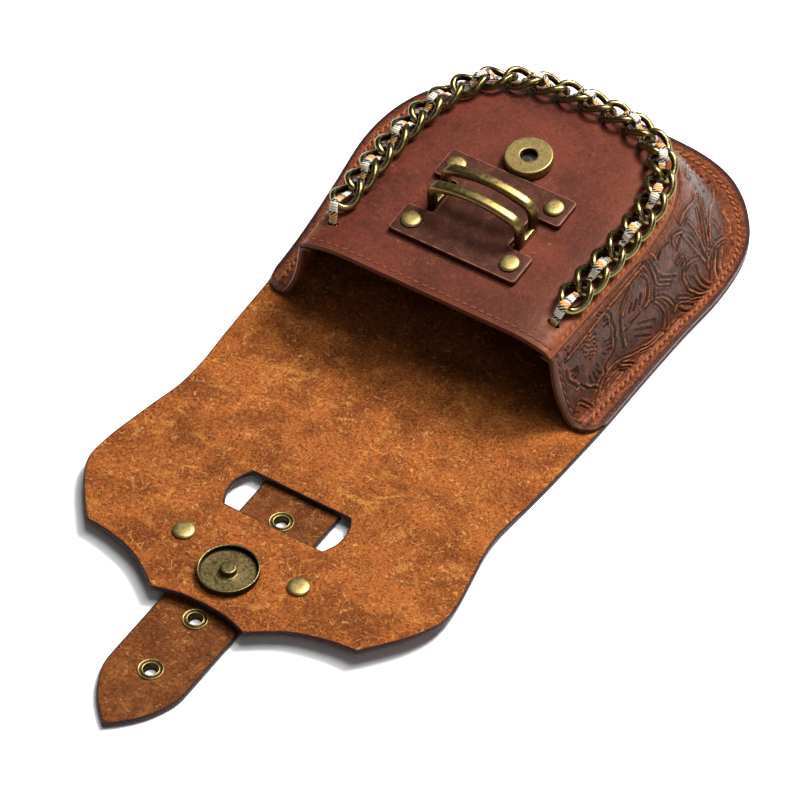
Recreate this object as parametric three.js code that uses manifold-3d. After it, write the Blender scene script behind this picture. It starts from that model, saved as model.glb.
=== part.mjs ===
// A leather chain bag: a pouch lying on its back with its flap open, built at real size.
// Millimetres, +Z up. The origin is the middle of the mouth line on the underside of the back panel.
// +Y runs to the closed end of the pouch, -Y along the open flap, +X across the bag.
import * as THREE from "three";
import { mergeVertices } from "three/addons/utils/BufferGeometryUtils.js";
import Module from "manifold-3d";

const wasm = await Module();
wasm.setup();

// Leather sheets
const BACK_WIDTH = 134.6; // back panel across the mouth line
const BACK_LENGTH = 142; // mouth line to the closed end of the back panel
const FLAP_LENGTH = 137.8; // mouth line to the two points of the flap
const BACK_THICK = 2;
const FRONT_WIDTH = 100.4; // front panel across its mouth edge
const FRONT_LENGTH = 107.5; // mouth edge to the closed end of the front panel
const FRONT_THICK = 2.2;
const FRONT_HEIGHT = 37.4; // top of the front panel above the table, at the mouth
const FRONT_SLOPE = 0.09; // rise of the front panel toward its closed end
const MOUTH_OVERHANG = 1.5; // front panel past the mouth line
const EDGE_ROLL = 18; // width of the border where the front panel rolls down
const EDGE_DROP = 3.4; // how far the border rolls down
const END_FALL = 2; // how far the closed end sinks below the slope
const END_FALL_FROM = 0.72; // share of the front panel's length where that starts
const BACK_LEAN = -4.5; // sideways set of the closed end of the back panel
const FRONT_LEAN = 2.6; // sideways set of the closed end of the front panel
const GUSSET_THICK = 1.8;
const GUSSET_LIP = 3.4; // part of the gusset tucked under the front panel
const GUSSET_FLANGE = 8; // part of the gusset sewn flat on the back panel
const MOUTH_PINCH = 2; // how far the gusset folds in at the mouth
const PINCH_REACH = 48; // how far in from the mouth the fold dies away

// Strap, keeper and the flap above them
const STRAP_WIDTH = 30;
const STRAP_THICK = 2;
const STRAP_TIP = 190; // mouth line to the strap's tip
const STRAP_END = 69; // mouth line to the strap's hidden plain end
const TIP_LENGTH = 28; // pointed part of the strap
const KEEPER_THICK = 1.2;
const KEEPER_LENGTH = 14; // along the strap
const KEEPER_END = 5; // leather past each rivet of the keeper
const KEEPER_SLACK = 1.4; // room beside the strap inside the keeper
const KEEPER_FROM_SLOT = 27; // middle of the slot to the middle of the keeper
const KEEPER_BEND = 2.8; // run over which the keeper climbs to the flap
const LOBE_SAG = 2.4; // how far the corners of the flap hang down
const FLAP_LIES = 30; // hidden end of the strap to where the flap lies flat again
const STRAP_CLIMB = 14; // run over which the strap climbs into the keeper from its tip
const STRAP_FALL = 9; // run over which it comes down again toward the pouch

// Eyelets
const EYELET_HOLE = 5;
const EYELET_BARREL = 6; // outside of the eyelet's tube
const EYELET_RIM = 8.6;
const EYELET_RIM_THICK = 0.4;
const EYELET_COUNT = 4;
const EYELET_PITCH = 25;
const EYELET_FROM_TIP = 26.3;

// Rivets and snap
const RIVET_SHANK = 3;
const RIVET_WASHER = 6.4;
const RIVET_PLATE = 0.8; // thickness of a rivet's washer and rim
const FLAP_RIVET_HEAD = 7.8;
const PATCH_RIVET_HEAD = 7.2;
const RIVET_DOME = 1;
const SNAP_WIDTH = 17.3;
const SNAP_DEPTH = 4.2;
const SNAP_HOLE = 6;
const SNAP_FROM_MOUTH = 66.4;
const CUP_WIDTH = 21;
const CUP_RIM_HEIGHT = 2.6;
const CUP_WALL = 1.1;
const CUP_FLOOR = 0.8;
const CUP_POST_HEIGHT = 3.2;
const CUP_FROM_MOUTH = 119.4;
const POST_CLEARANCE = 0.25; // between the cup's post and the snap's hole, all round

// Patch and the double arch on the front panel
const PATCH_WIDTH = 50.6;
const PATCH_NECK = 30;
const PATCH_THICK = 2;
const PATCH_START = 15.4; // mouth line to the patch's near edge
const PATCH_TAB = 13; // length of each of its two tabs
const PATCH_CORNER = 1.6; // rounding of its corners
const RIVET_INSET = 5.6; // rivet to the side edge of its tab
const BRACKET_WIDTH = 38;
const BRACKET_HEIGHT = 16.3; // crown above the front panel
const BRACKET_SHOULDER = 13.2; // shoulder above the front panel
const BRACKET_BAR = 3; // thickness of a bar
const BRACKET_BAR_WIDTH = 4.7;
const BRACKET_BEVEL = 0.8;
const BRACKET_SPACING = 8.9; // between the middles of the two arches
const BRACKET_FOOT_BAR = 2.4; // height of the bars that join the feet
const BRACKET_ROOM = 1.2; // between the bracket and the patch's tabs
const SLOT_MARGIN = 1.6; // slot past the bracket, along the flap
const SLOT_BULGE = 2.8; // how far the slot's ends bow out
const SLOT_FROM_MOUTH = 85.2;

// Chain and ribbon
const CHAIN_PITCH = 9.7; // wished distance between neighbouring links
const LINK_WIRE = 2.5;
const LINK_WIDTH = 11.7;
const LINK_TWIST = THREE.MathUtils.degToRad(-45); // roll of a link's ends, against its middle
const LINK_PLAY = 1; // how far neighbouring links slide on each other
const CHAIN_INSET = 6.4; // front panel's edge to the middle of the chain
const CHAIN_START = 21.3; // mouth line to the middle of the first link
const RIBBON_WIDTH = 4.4;
const RIBBON_FOLDED = 2.4; // width where it is bunched under the chain
const RIBBON_THICK = 0.5;
const RIBBON_TAIL = 4; // ribbon inside the pouch, past its hole

// Clearances
const GAP = 0.3; // between pieces that touch
const SEAM_GAP = 0.6; // between the rolled front panel and what follows its curve
const SNUG = 0.1; // between an eyelet's rim and its leather
const HOLE_CLEARANCE = 0.35; // round a shank or a barrel

// Fineness of the faceted shapes
const OUTLINE_STEPS = 44;
const LINK_STEPS = 12;
const WIRE_SIDES = 6;
const ROUND_SIDES = 12;
const DISC_SIDES = 18;
const HOLE_SIDES = 8;
const CORNER_STEPS = 3;
const ARCH_STEPS = 5;
const SHEET_STEP = 10.5;

const FINISHES = {
  frontLeather: { color: 0x7d4334, roughness: 0.45, metalness: 0 },
  suede: { color: 0xa9694a, roughness: 0.95, metalness: 0 },
  tooledLeather: { color: 0x4a332c, roughness: 0.6, metalness: 0 },
  darkLeather: { color: 0x553430, roughness: 0.5, metalness: 0 },
  antiqueBrass: { color: 0xa08a4c, roughness: 0.35, metalness: 1 },
  ribbon: { color: 0xe9e2d8, roughness: 0.8, metalness: 0 },
};

// Outlines of half of each sheet, from the mouth to the closed end: lengths are shares of the sheet's
// length, and halves are shares of half its width at the mouth.
const FRONT_OUTLINE = [
  { along: 0.0, half: 1.0 },
  { along: 0.25, half: 1.02 },
  { along: 0.48, half: 1.035 },
  { along: 0.6, half: 1.022 },
  { along: 0.71, half: 0.985 },
  { along: 0.81, half: 0.908 },
  { along: 0.89, half: 0.79 },
  { along: 0.948, half: 0.625 },
  { along: 0.983, half: 0.42 },
  { along: 0.997, half: 0.2 },
];
const BACK_OUTLINE = [
  { along: 0.0, half: 1.0 },
  { along: 0.2, half: 1.022 },
  { along: 0.4, half: 1.06 },
  { along: 0.56, half: 1.098 },
  { along: 0.68, half: 1.09 },
  { along: 0.775, half: 1.04 },
  { along: 0.845, half: 0.955 },
  { along: 0.91, half: 0.835 },
  { along: 0.958, half: 0.69 },
  { along: 0.987, half: 0.5 },
  { along: 0.998, half: 0.24 },
];
const FLAP_SIDE = [
  { along: 0.0, half: 1.0 },
  { along: 0.18, half: 0.98 },
  { along: 0.36, half: 0.952 },
  { along: 0.45, half: 0.96 },
  { along: 0.566, half: 1.003 },
  { along: 0.64, half: 1.03 },
  { along: 0.7, half: 1.038 },
  { along: 0.745, half: 1.023 },
  { along: 0.8, half: 0.967 },
  { along: 0.855, half: 0.882 },
  { along: 0.906, half: 0.792 },
];
const FLAP_HOLLOW = [
  { along: 0.906, half: 0.792 },
  { along: 0.909, half: 0.695 },
  { along: 0.92, half: 0.58 },
  { along: 0.938, half: 0.465 },
  { along: 0.966, half: 0.367 },
  { along: 1.0, half: 0.272 },
];
const FLAP_TONGUE = [
  { along: 1.0, half: 0.272 },
  { along: 0.981, half: 0.14 },
  { along: 0.976, half: 0.0 },
];
// The strap's pointed end: shares of the tip's length and of half the strap's width.
const STRAP_POINT = [
  { along: 0.0, half: 1.0 },
  { along: 0.25, half: 0.975 },
  { along: 0.47, half: 0.83 },
  { along: 0.68, half: 0.6 },
  { along: 0.87, half: 0.28 },
  { along: 1.0, half: 0.0 },
];
// The gusset's wall between its seam and its flange: shares of the wall's run and of its height.
const GUSSET_WALL = [
  { run: 0.0, rise: 1.0 },
  { run: 0.1, rise: 0.965 },
  { run: 0.26, rise: 0.82 },
  { run: 0.47, rise: 0.55 },
  { run: 0.68, rise: 0.28 },
  { run: 0.86, rise: 0.08 },
  { run: 1.0, rise: 0.0 },
];
// The arch's outline, as shares of half its width and of its shoulder height.
const ARCH_CORNER = { side: 0.8, down: 0.68 };

// Sizes that follow from the ones above
const EYELET_PROUD = EYELET_RIM_THICK + SNUG;
const STRAP_UNDERSIDE = EYELET_PROUD;
const STRAP_IN_KEEPER = KEEPER_THICK + GAP + EYELET_PROUD;
const FLAP_OVER_STRAP = STRAP_UNDERSIDE + STRAP_THICK + EYELET_PROUD + GAP / 2;
const FLAP_OVER_KEEPER = STRAP_IN_KEEPER + STRAP_THICK + EYELET_PROUD + GAP / 2;
const KEEPER_INSIDE = STRAP_WIDTH / 2 + KEEPER_SLACK;
const KEEPER_RISE = FLAP_OVER_KEEPER - GAP - KEEPER_THICK; // height of the keeper's ends
const FLAP_RIVET_X = KEEPER_INSIDE + KEEPER_BEND + RIVET_WASHER / 2 + GAP;
const KEEPER_HALF = FLAP_RIVET_X + KEEPER_END;
const KEEPER_MIDDLE = SLOT_FROM_MOUTH + KEEPER_FROM_SLOT;
const BRACKET_LENGTH = BRACKET_SPACING + BRACKET_BAR_WIDTH;
const BRACKET_MIDDLE = PATCH_START + PATCH_TAB + BRACKET_ROOM + BRACKET_LENGTH / 2;
const PATCH_GAP_LENGTH = BRACKET_LENGTH + 2 * BRACKET_ROOM; // between the two tabs
const PATCH_END = PATCH_START + 2 * PATCH_TAB + PATCH_GAP_LENGTH;
const SLOT_WIDTH = BRACKET_WIDTH + 0.8;
const SLOT_LENGTH = BRACKET_LENGTH + 2 * SLOT_MARGIN;
const FLANGE_TOP = BACK_THICK + GAP + GUSSET_THICK;
const RIBBON_OVER = RIBBON_WIDTH / 2 + LINK_WIRE / 2 + 0.4; // ribbon's middle above the chain's
const RIBBON_UNDER = RIBBON_FOLDED / 2 + LINK_WIRE / 2 + 0.6;
const CHAIN_LIFT = RIBBON_UNDER + RIBBON_THICK / 2 + SEAM_GAP; // chain's middle above the leather
const RIBBON_HOLE_REACH = 11.6; // middle of the end link to the ribbon's hole

const group = new THREE.Group();

// Shapes and solids

function smooth(share) {
  const t = THREE.MathUtils.clamp(share, 0, 1);
  return t * t * (3 - 2 * t);
}

// Straight-line reading of a table of { at, value } rows that rise in at.
function readTable(rows, at) {
  if (at <= rows[0].at) return rows[0].value;
  for (let i = 1; i < rows.length; i += 1) {
    if (at <= rows[i].at) {
      const share = (at - rows[i - 1].at) / (rows[i].at - rows[i - 1].at);
      return THREE.MathUtils.lerp(rows[i - 1].value, rows[i].value, share);
    }
  }
  return rows[rows.length - 1].value;
}

function solidOf(geometry) {
  const bare = geometry.index ? geometry.clone() : mergeVertices(geometry.clone(), 1e-4);
  bare.deleteAttribute("normal");
  bare.deleteAttribute("uv");
  const merged = mergeVertices(bare, 1e-4);
  return new wasm.Manifold(
    new wasm.Mesh({
      numProp: 3,
      vertProperties: merged.attributes.position.array,
      triVerts: new Uint32Array(merged.index.array),
    }),
  );
}

function geometryOf(solid) {
  const mesh = solid.getMesh();
  const geometry = new THREE.BufferGeometry();
  const stride = mesh.numProp;
  const places = new Float32Array(mesh.numVert * 3);
  for (let i = 0; i < mesh.numVert; i += 1) {
    places.set(mesh.vertProperties.subarray(i * stride, i * stride + 3), i * 3);
  }
  geometry.setAttribute("position", new THREE.BufferAttribute(places, 3));
  geometry.setIndex(new THREE.BufferAttribute(mesh.triVerts, 1));
  geometry.computeVertexNormals();
  return geometry;
}

function signedVolume(points, faces) {
  let six = 0;
  for (const [a, b, c] of faces) {
    six += points[a].dot(points[b].clone().cross(points[c]));
  }
  return six / 6;
}

// A closed mesh from points and triangles, turned so that its faces point out.
function closedGeometry(points, faces) {
  const outward = signedVolume(points, faces) < 0 ? faces.map(([a, b, c]) => [a, c, b]) : faces;
  const geometry = new THREE.BufferGeometry();
  const places = new Float32Array(points.flatMap((p) => [p.x, p.y, p.z]));
  geometry.setAttribute("position", new THREE.BufferAttribute(places, 3));
  geometry.setIndex(outward.flat());
  geometry.computeVertexNormals();
  return geometry;
}

// Skins a row of rings that hold as many points each. An open row is closed by caps that pair the first
// half of a ring with its second half, as suits a thin sheet; a looped row meets its own start.
function loft(rings, looped = false) {
  const size = rings[0].length;
  const points = rings.flat();
  const faces = [];
  const spans = looped ? rings.length : rings.length - 1;
  for (let i = 0; i < spans; i += 1) {
    const here = i * size;
    const next = ((i + 1) % rings.length) * size;
    for (let k = 0; k < size; k += 1) {
      const after = (k + 1) % size;
      faces.push([here + k, here + after, next + after], [here + k, next + after, next + k]);
    }
  }
  if (!looped) {
    const last = (rings.length - 1) * size;
    for (let k = 0; k < size / 2 - 1; k += 1) {
      const back = size - 1 - k;
      faces.push([k, back, back - 1], [k, back - 1, k + 1]);
      faces.push([last + k, last + k + 1, last + back - 1], [last + k, last + back - 1, last + back]);
    }
  }
  return closedGeometry(points, faces);
}

function prism(outline, low, high) {
  const shape = outline instanceof THREE.Shape ? outline : new THREE.Shape(outline);
  const geometry = new THREE.ExtrudeGeometry(shape, {
    depth: high - low,
    bevelEnabled: false,
    curveSegments: CORNER_STEPS,
  });
  return geometry.translate(0, 0, low);
}

function roundHole(x, y, radius, low, high) {
  const shape = new THREE.Shape();
  shape.absarc(x, y, radius, 0, Math.PI * 2);
  const points = shape.getSpacedPoints(HOLE_SIDES).slice(0, HOLE_SIDES);
  return solidOf(prism(points, low, high));
}

// Even steps from low to high, no wider than the wished step.
function steps(low, high, wished) {
  const count = Math.max(1, Math.ceil((high - low) / wished));
  return Array.from({ length: count + 1 }, (_, i) => low + ((high - low) * i) / count);
}

// A leather sheet: a slab between underside(x, y) and the same plus thick, cut to a plan outline.
function sheet(outline, columns, rows, underside, thick, cutters) {
  const points = [];
  const faces = [];
  const width = columns.length;
  for (const lift of [0, thick]) {
    for (const y of rows) {
      for (const x of columns) points.push(new THREE.Vector3(x, y, underside(x, y) + lift));
    }
  }
  const layer = width * rows.length;
  const place = (column, row, top) => top * layer + row * width + column;
  for (let r = 0; r + 1 < rows.length; r += 1) {
    for (let c = 0; c + 1 < width; c += 1) {
      for (const top of [0, 1]) {
        const [a, b] = [place(c, r, top), place(c + 1, r, top)];
        const [d, e] = [place(c, r + 1, top), place(c + 1, r + 1, top)];
        if (top) faces.push([a, b, e], [a, e, d]);
        else faces.push([a, e, b], [a, d, e]);
      }
    }
  }
  const border = [];
  for (let c = 0; c < width; c += 1) border.push([c, 0]);
  for (let r = 1; r < rows.length; r += 1) border.push([width - 1, r]);
  for (let c = width - 2; c >= 0; c -= 1) border.push([c, rows.length - 1]);
  for (let r = rows.length - 2; r >= 1; r -= 1) border.push([0, r]);
  border.forEach(([c, r], i) => {
    const [nextColumn, nextRow] = border[(i + 1) % border.length];
    const [a, b] = [place(c, r, 0), place(nextColumn, nextRow, 0)];
    faces.push([a, b, b + layer], [a, b + layer, a + layer]);
  });
  const slab = solidOf(closedGeometry(points, faces));
  let cut = slab.intersect(solidOf(prism(outline, -10, FRONT_HEIGHT * 3)));
  for (const cutter of cutters) cut = cut.subtract(cutter);
  return geometryOf(cut);
}

function add(name, geometry, finish, parent = group) {
  const mesh = new THREE.Mesh(geometry, new THREE.MeshStandardMaterial(FINISHES[finish]));
  mesh.name = name;
  parent.add(mesh);
  return mesh;
}

function turned(profile, sides = ROUND_SIDES) {
  const points = profile.map(([radius, height]) => new THREE.Vector2(radius, height));
  return new THREE.LatheGeometry(points, sides).rotateX(Math.PI / 2);
}

// Plan outlines

// A U-shaped outline from the right end of the mouth round the closed end to the left end of the mouth.
function pouchOutline(rows, width, length, start, lean) {
  const right = rows.map((row) => new THREE.Vector2((row.half * width) / 2, start + row.along * length));
  const left = [...right].reverse().map((p) => new THREE.Vector2(-p.x, p.y));
  const curve = new THREE.SplineCurve([...right, new THREE.Vector2(0, start + length), ...left]);
  return curve.getSpacedPoints(OUTLINE_STEPS).map((p) => leaned(p, lean));
}

// Each panel leans sideways more and more toward its closed end, as the soft bag lies.
function leaned(point, lean) {
  const share = Math.max(point.y, 0) / BACK_LENGTH;
  return new THREE.Vector2(point.x + lean * smooth(share * 1.45), point.y);
}

const frontOutline = pouchOutline(
  FRONT_OUTLINE,
  FRONT_WIDTH,
  FRONT_LENGTH,
  -MOUTH_OVERHANG,
  FRONT_LEAN,
);
const backOutline = pouchOutline(BACK_OUTLINE, BACK_WIDTH, BACK_LENGTH, 0, BACK_LEAN);

function flapEdge(rows, count) {
  const places = rows.map(
    (row) => new THREE.Vector2((row.half * BACK_WIDTH) / 2, -row.along * FLAP_LENGTH),
  );
  return new THREE.SplineCurve(places).getSpacedPoints(count);
}

function flapOutline() {
  const side = flapEdge(FLAP_SIDE, 16);
  const hollow = flapEdge(FLAP_HOLLOW, 7).slice(1);
  const tongue = flapEdge(FLAP_TONGUE, 4).slice(1);
  const right = [...side, ...hollow, ...tongue];
  const left = right
    .slice(0, -1)
    .reverse()
    .map((p) => new THREE.Vector2(-p.x, p.y));
  return [...right, ...left];
}

// Heights

function distanceToEdge(x, y) {
  let nearest = Infinity;
  for (let i = 0; i + 1 < frontOutline.length; i += 1) {
    const a = frontOutline[i];
    const b = frontOutline[i + 1];
    const span = b.clone().sub(a);
    const share = THREE.MathUtils.clamp(
      ((x - a.x) * span.x + (y - a.y) * span.y) / span.lengthSq(),
      0,
      1,
    );
    nearest = Math.min(nearest, Math.hypot(a.x + span.x * share - x, a.y + span.y * share - y));
  }
  return nearest;
}

// Top of the front panel: a gentle slope that rolls down along the seam and sinks at the closed end.
function frontTop(x, y) {
  const roll = Math.max(0, 1 - distanceToEdge(x, y) / EDGE_ROLL);
  const fallStart = FRONT_LENGTH * END_FALL_FROM;
  const fall = Math.max(0, (y - fallStart) / (FRONT_LENGTH - fallStart));
  return FRONT_HEIGHT + FRONT_SLOPE * y - EDGE_DROP * roll * roll - END_FALL * fall * fall;
}

const FLAP_HEIGHTS = [
  { at: -FLAP_LENGTH, value: FLAP_OVER_KEEPER },
  { at: -(KEEPER_MIDDLE - KEEPER_LENGTH / 2 - 1), value: FLAP_OVER_KEEPER },
  { at: -(SLOT_FROM_MOUTH + SLOT_LENGTH / 2), value: FLAP_OVER_STRAP },
  { at: -(STRAP_END - 2), value: FLAP_OVER_STRAP },
  { at: -(STRAP_END - FLAP_LIES), value: 0 },
  { at: 0, value: 0 },
];

function flapUnderside(x, y) {
  const corner = smooth((Math.abs(x) - BACK_WIDTH * 0.24) / (BACK_WIDTH * 0.26));
  const outward = smooth((-y - FLAP_LENGTH * 0.6) / (FLAP_LENGTH * 0.3));
  const height = readTable(FLAP_HEIGHTS, y);
  return Math.max(0, height - LOBE_SAG * corner * outward);
}

const STRAP_HEIGHTS = [
  { at: -STRAP_TIP, value: STRAP_UNDERSIDE },
  { at: -(KEEPER_MIDDLE + KEEPER_LENGTH / 2 + STRAP_CLIMB), value: STRAP_UNDERSIDE },
  { at: -(KEEPER_MIDDLE + KEEPER_LENGTH / 2 + SEAM_GAP), value: STRAP_IN_KEEPER },
  { at: -(KEEPER_MIDDLE - KEEPER_LENGTH / 2 - SEAM_GAP), value: STRAP_IN_KEEPER },
  { at: -(KEEPER_MIDDLE - KEEPER_LENGTH / 2 - STRAP_FALL), value: STRAP_UNDERSIDE },
  { at: -STRAP_END, value: STRAP_UNDERSIDE },
];

// Pieces

function eyeletPlaces() {
  return Array.from(
    { length: EYELET_COUNT },
    (_, i) => -(STRAP_TIP - EYELET_FROM_TIP - i * EYELET_PITCH),
  );
}

function makeBackPanel() {
  const slot = new THREE.Shape();
  const middle = -SLOT_FROM_MOUTH;
  const [halfWidth, halfLength] = [SLOT_WIDTH / 2, SLOT_LENGTH / 2];
  slot.moveTo(-halfWidth, middle - halfLength);
  slot.lineTo(halfWidth, middle - halfLength);
  slot.quadraticCurveTo(halfWidth + 2 * SLOT_BULGE, middle, halfWidth, middle + halfLength);
  slot.lineTo(-halfWidth, middle + halfLength);
  slot.quadraticCurveTo(-halfWidth - 2 * SLOT_BULGE, middle, -halfWidth, middle - halfLength);
  const reach = FLAP_OVER_KEEPER + BACK_THICK + 5;
  const cutters = [solidOf(prism(slot, -5, reach))];
  const shank = RIVET_SHANK / 2 + HOLE_CLEARANCE;
  for (const side of [-1, 1]) {
    cutters.push(roundHole(side * FLAP_RIVET_X, -KEEPER_MIDDLE, shank, -5, reach));
  }
  cutters.push(roundHole(0, -CUP_FROM_MOUTH, shank, -5, reach));
  const outline = [...backOutline, ...flapOutline().reverse()];
  const columns = steps(-BACK_WIDTH / 2 - 14, BACK_WIDTH / 2 + 14, 14);
  const rows = [...FLAP_HEIGHTS.map((row) => row.at), BACK_LENGTH + 5, -FLAP_LENGTH - 5];
  for (const share of [0.62, 0.76, 0.9]) rows.push(-FLAP_LENGTH * share);
  rows.sort((a, b) => a - b);
  const spaced = rows.filter((y, i) => i === 0 || y - rows[i - 1] > 0.5);
  add("back_panel", sheet(outline, columns, spaced, flapUnderside, BACK_THICK, cutters), "suede");
}

function chainPath() {
  const inside = frontOutline.map((point, i) => {
    const before = frontOutline[Math.max(0, i - 1)];
    const after = frontOutline[Math.min(frontOutline.length - 1, i + 1)];
    const along = after.clone().sub(before).normalize();
    return new THREE.Vector2(point.x - along.y * CHAIN_INSET, point.y + along.x * CHAIN_INSET);
  });
  return new THREE.SplineCurve(inside);
}

const path = chainPath();
const pathLength = path.getLength();

function shareAtHeight(y, fromStart) {
  let [low, high] = fromStart ? [0, 0.45] : [1, 0.55];
  for (let i = 0; i < 40; i += 1) {
    const middle = (low + high) / 2;
    if (path.getPointAt(middle).y < y) low = middle;
    else high = middle;
  }
  return low;
}

const chainFrom = shareAtHeight(CHAIN_START, true) * pathLength;
const chainTo = shareAtHeight(CHAIN_START, false) * pathLength;
const linkCount = 2 * Math.round(((chainTo - chainFrom) / CHAIN_PITCH + 1) / 2);
const pitch = (chainTo - chainFrom) / (linkCount - 1);

// The chain's own axes at a distance along it from the first link: along, sideways and off the leather.
function chainFrame(distance) {
  const onPath = (offset) =>
    path.getPointAt(THREE.MathUtils.clamp((chainFrom + distance + offset) / pathLength, 0, 1));
  const at = onPath(0);
  const heading = onPath(pitch / 2).sub(onPath(-pitch / 2));
  const probe = 1.5;
  const slopeX = (frontTop(at.x + probe, at.y) - frontTop(at.x - probe, at.y)) / (2 * probe);
  const slopeY = (frontTop(at.x, at.y + probe) - frontTop(at.x, at.y - probe)) / (2 * probe);
  const up = new THREE.Vector3(-slopeX, -slopeY, 1).normalize();
  const along = new THREE.Vector3(heading.x, heading.y, 0);
  along.addScaledVector(up, -along.dot(up)).normalize();
  const side = up.clone().cross(along);
  const foot = new THREE.Vector3(at.x, at.y, frontTop(at.x, at.y));
  return { foot, along, side, up };
}

function chainPoint(frame, forward, sideways, lift) {
  return frame.foot
    .clone()
    .addScaledVector(frame.along, forward)
    .addScaledVector(frame.side, sideways)
    .addScaledVector(frame.up, CHAIN_LIFT + lift);
}

function ribbonHole(distance) {
  const frame = chainFrame(distance);
  const shape = new THREE.Shape();
  const turn = Math.atan2(frame.side.y, frame.side.x);
  const [halfLong, halfShort] = [RIBBON_WIDTH / 2 + 0.9, RIBBON_THICK / 2 + 1.1];
  shape.absellipse(frame.foot.x, frame.foot.y, halfLong, halfShort, 0, Math.PI * 2, false, turn);
  const points = shape.getSpacedPoints(HOLE_SIDES).slice(0, HOLE_SIDES);
  return solidOf(prism(points, 0, FRONT_HEIGHT * 2));
}

function rivetPlaces() {
  const x = PATCH_WIDTH / 2 - RIVET_INSET;
  const near = PATCH_START + PATCH_TAB / 2;
  const far = PATCH_END - PATCH_TAB / 2;
  return [
    { x: -x, y: near },
    { x, y: near },
    { x: -x, y: far },
    { x, y: far },
  ];
}

function makeFrontPanel() {
  const tilt = Math.cos(Math.atan(FRONT_SLOPE));
  const shank = RIVET_SHANK / 2 + 2 * HOLE_CLEARANCE;
  const cutters = rivetPlaces().map((at) => roundHole(at.x, at.y * tilt, shank, 0, FRONT_HEIGHT * 2));
  cutters.push(roundHole(0, SNAP_FROM_MOUTH * tilt, shank, 0, FRONT_HEIGHT * 2));
  cutters.push(ribbonHole(-RIBBON_HOLE_REACH));
  cutters.push(ribbonHole(chainTo - chainFrom + RIBBON_HOLE_REACH));
  const columns = steps(-FRONT_WIDTH / 2 - 7, FRONT_WIDTH / 2 + 7, SHEET_STEP);
  const rows = steps(-MOUTH_OVERHANG, FRONT_LENGTH + 2, SHEET_STEP);
  const underside = (x, y) => frontTop(x, y) - FRONT_THICK;
  const panel = sheet(frontOutline, columns, rows, underside, FRONT_THICK, cutters);
  add("front_panel", panel, "frontLeather");
}

// One section of the gusset, as a ring: its outer face from the tucked lip to the flange's edge, and back
// along its inner face.
function gussetRing(front, back) {
  const away = back.clone().sub(front);
  const reach = away.length();
  const out = away.clone().divideScalar(reach);
  const seam = frontTop(front.x, front.y) - FRONT_THICK - SEAM_GAP;
  const height = seam - FLANGE_TOP;
  const wall = reach - GUSSET_FLANGE;
  const nearMouth = Math.max(0, 1 - (front.y + back.y) / 2 / PINCH_REACH);
  const lipAt = front.clone().addScaledVector(out, -GUSSET_LIP);
  const lipHeight = frontTop(lipAt.x, Math.max(lipAt.y, -MOUTH_OVERHANG)) - FRONT_THICK - SEAM_GAP;
  const profile = [{ r: -GUSSET_LIP, z: lipHeight }];
  for (const row of GUSSET_WALL) {
    const fold = 4 * row.rise * (1 - row.rise) * MOUTH_PINCH * nearMouth * nearMouth;
    profile.push({ r: row.run * wall - fold, z: FLANGE_TOP + row.rise * height });
  }
  profile.push({ r: reach, z: FLANGE_TOP });
  const inner = profile.map((point, i) => {
    const before = profile[Math.max(0, i - 1)];
    const after = profile[Math.min(profile.length - 1, i + 1)];
    const [run, drop] = [after.r - before.r, after.z - before.z];
    const length = Math.hypot(run, drop);
    return {
      r: point.r + (drop / length) * GUSSET_THICK,
      z: Math.max(point.z - (run / length) * GUSSET_THICK, BACK_THICK + GAP),
    };
  });
  return [...profile, ...inner.reverse()].map(
    ({ r, z }) => new THREE.Vector3(front.x + out.x * r, front.y + out.y * r, z),
  );
}

function makeGusset() {
  const rings = frontOutline.map((front, i) => gussetRing(front, backOutline[i]));
  add("gusset", loft(rings), "tooledLeather");
}

function roundedCorners(corners, radius) {
  const shape = new THREE.Shape();
  corners.forEach((corner, i) => {
    const before = corners[(i + corners.length - 1) % corners.length];
    const after = corners[(i + 1) % corners.length];
    const enter = corner.clone().addScaledVector(before.clone().sub(corner).normalize(), radius);
    const leave = corner.clone().addScaledVector(after.clone().sub(corner).normalize(), radius);
    if (i === 0) shape.moveTo(enter.x, enter.y);
    else shape.lineTo(enter.x, enter.y);
    shape.quadraticCurveTo(corner.x, corner.y, leave.x, leave.y);
  });
  shape.closePath();
  return shape;
}

function patchShape() {
  const [wide, neck] = [PATCH_WIDTH / 2, PATCH_NECK / 2];
  const notchStart = PATCH_START + PATCH_TAB;
  const notchEnd = PATCH_END - PATCH_TAB;
  const right = [
    new THREE.Vector2(wide, PATCH_START),
    new THREE.Vector2(wide, notchStart),
    new THREE.Vector2(neck, notchStart),
    new THREE.Vector2(neck, notchEnd),
    new THREE.Vector2(wide, notchEnd),
    new THREE.Vector2(wide, PATCH_END),
  ];
  const left = [...right].reverse().map((p) => new THREE.Vector2(-p.x, p.y));
  const shape = roundedCorners([...right, ...left], PATCH_CORNER);
  for (const at of rivetPlaces()) {
    const hole = new THREE.Path();
    hole.absarc(at.x, at.y, RIVET_SHANK / 2 + HOLE_CLEARANCE, 0, Math.PI * 2, true);
    shape.holes.push(hole);
  }
  return shape;
}

// A domed rivet standing on the given height, with its washer under the leather.
function rivet(headWidth, standsOn, washerTop) {
  const [head, shank, washer] = [headWidth / 2, RIVET_SHANK / 2, RIVET_WASHER / 2];
  return turned([
    [0, washerTop - RIVET_PLATE],
    [washer, washerTop - RIVET_PLATE],
    [washer, washerTop],
    [shank, washerTop],
    [shank, standsOn],
    [head, standsOn],
    [head, standsOn + RIVET_PLATE * 0.5],
    [head * 0.86, standsOn + RIVET_DOME * 0.85],
    [head * 0.5, standsOn + RIVET_DOME * 1.1],
    [0, standsOn + RIVET_DOME * 1.2],
  ]);
}

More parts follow.
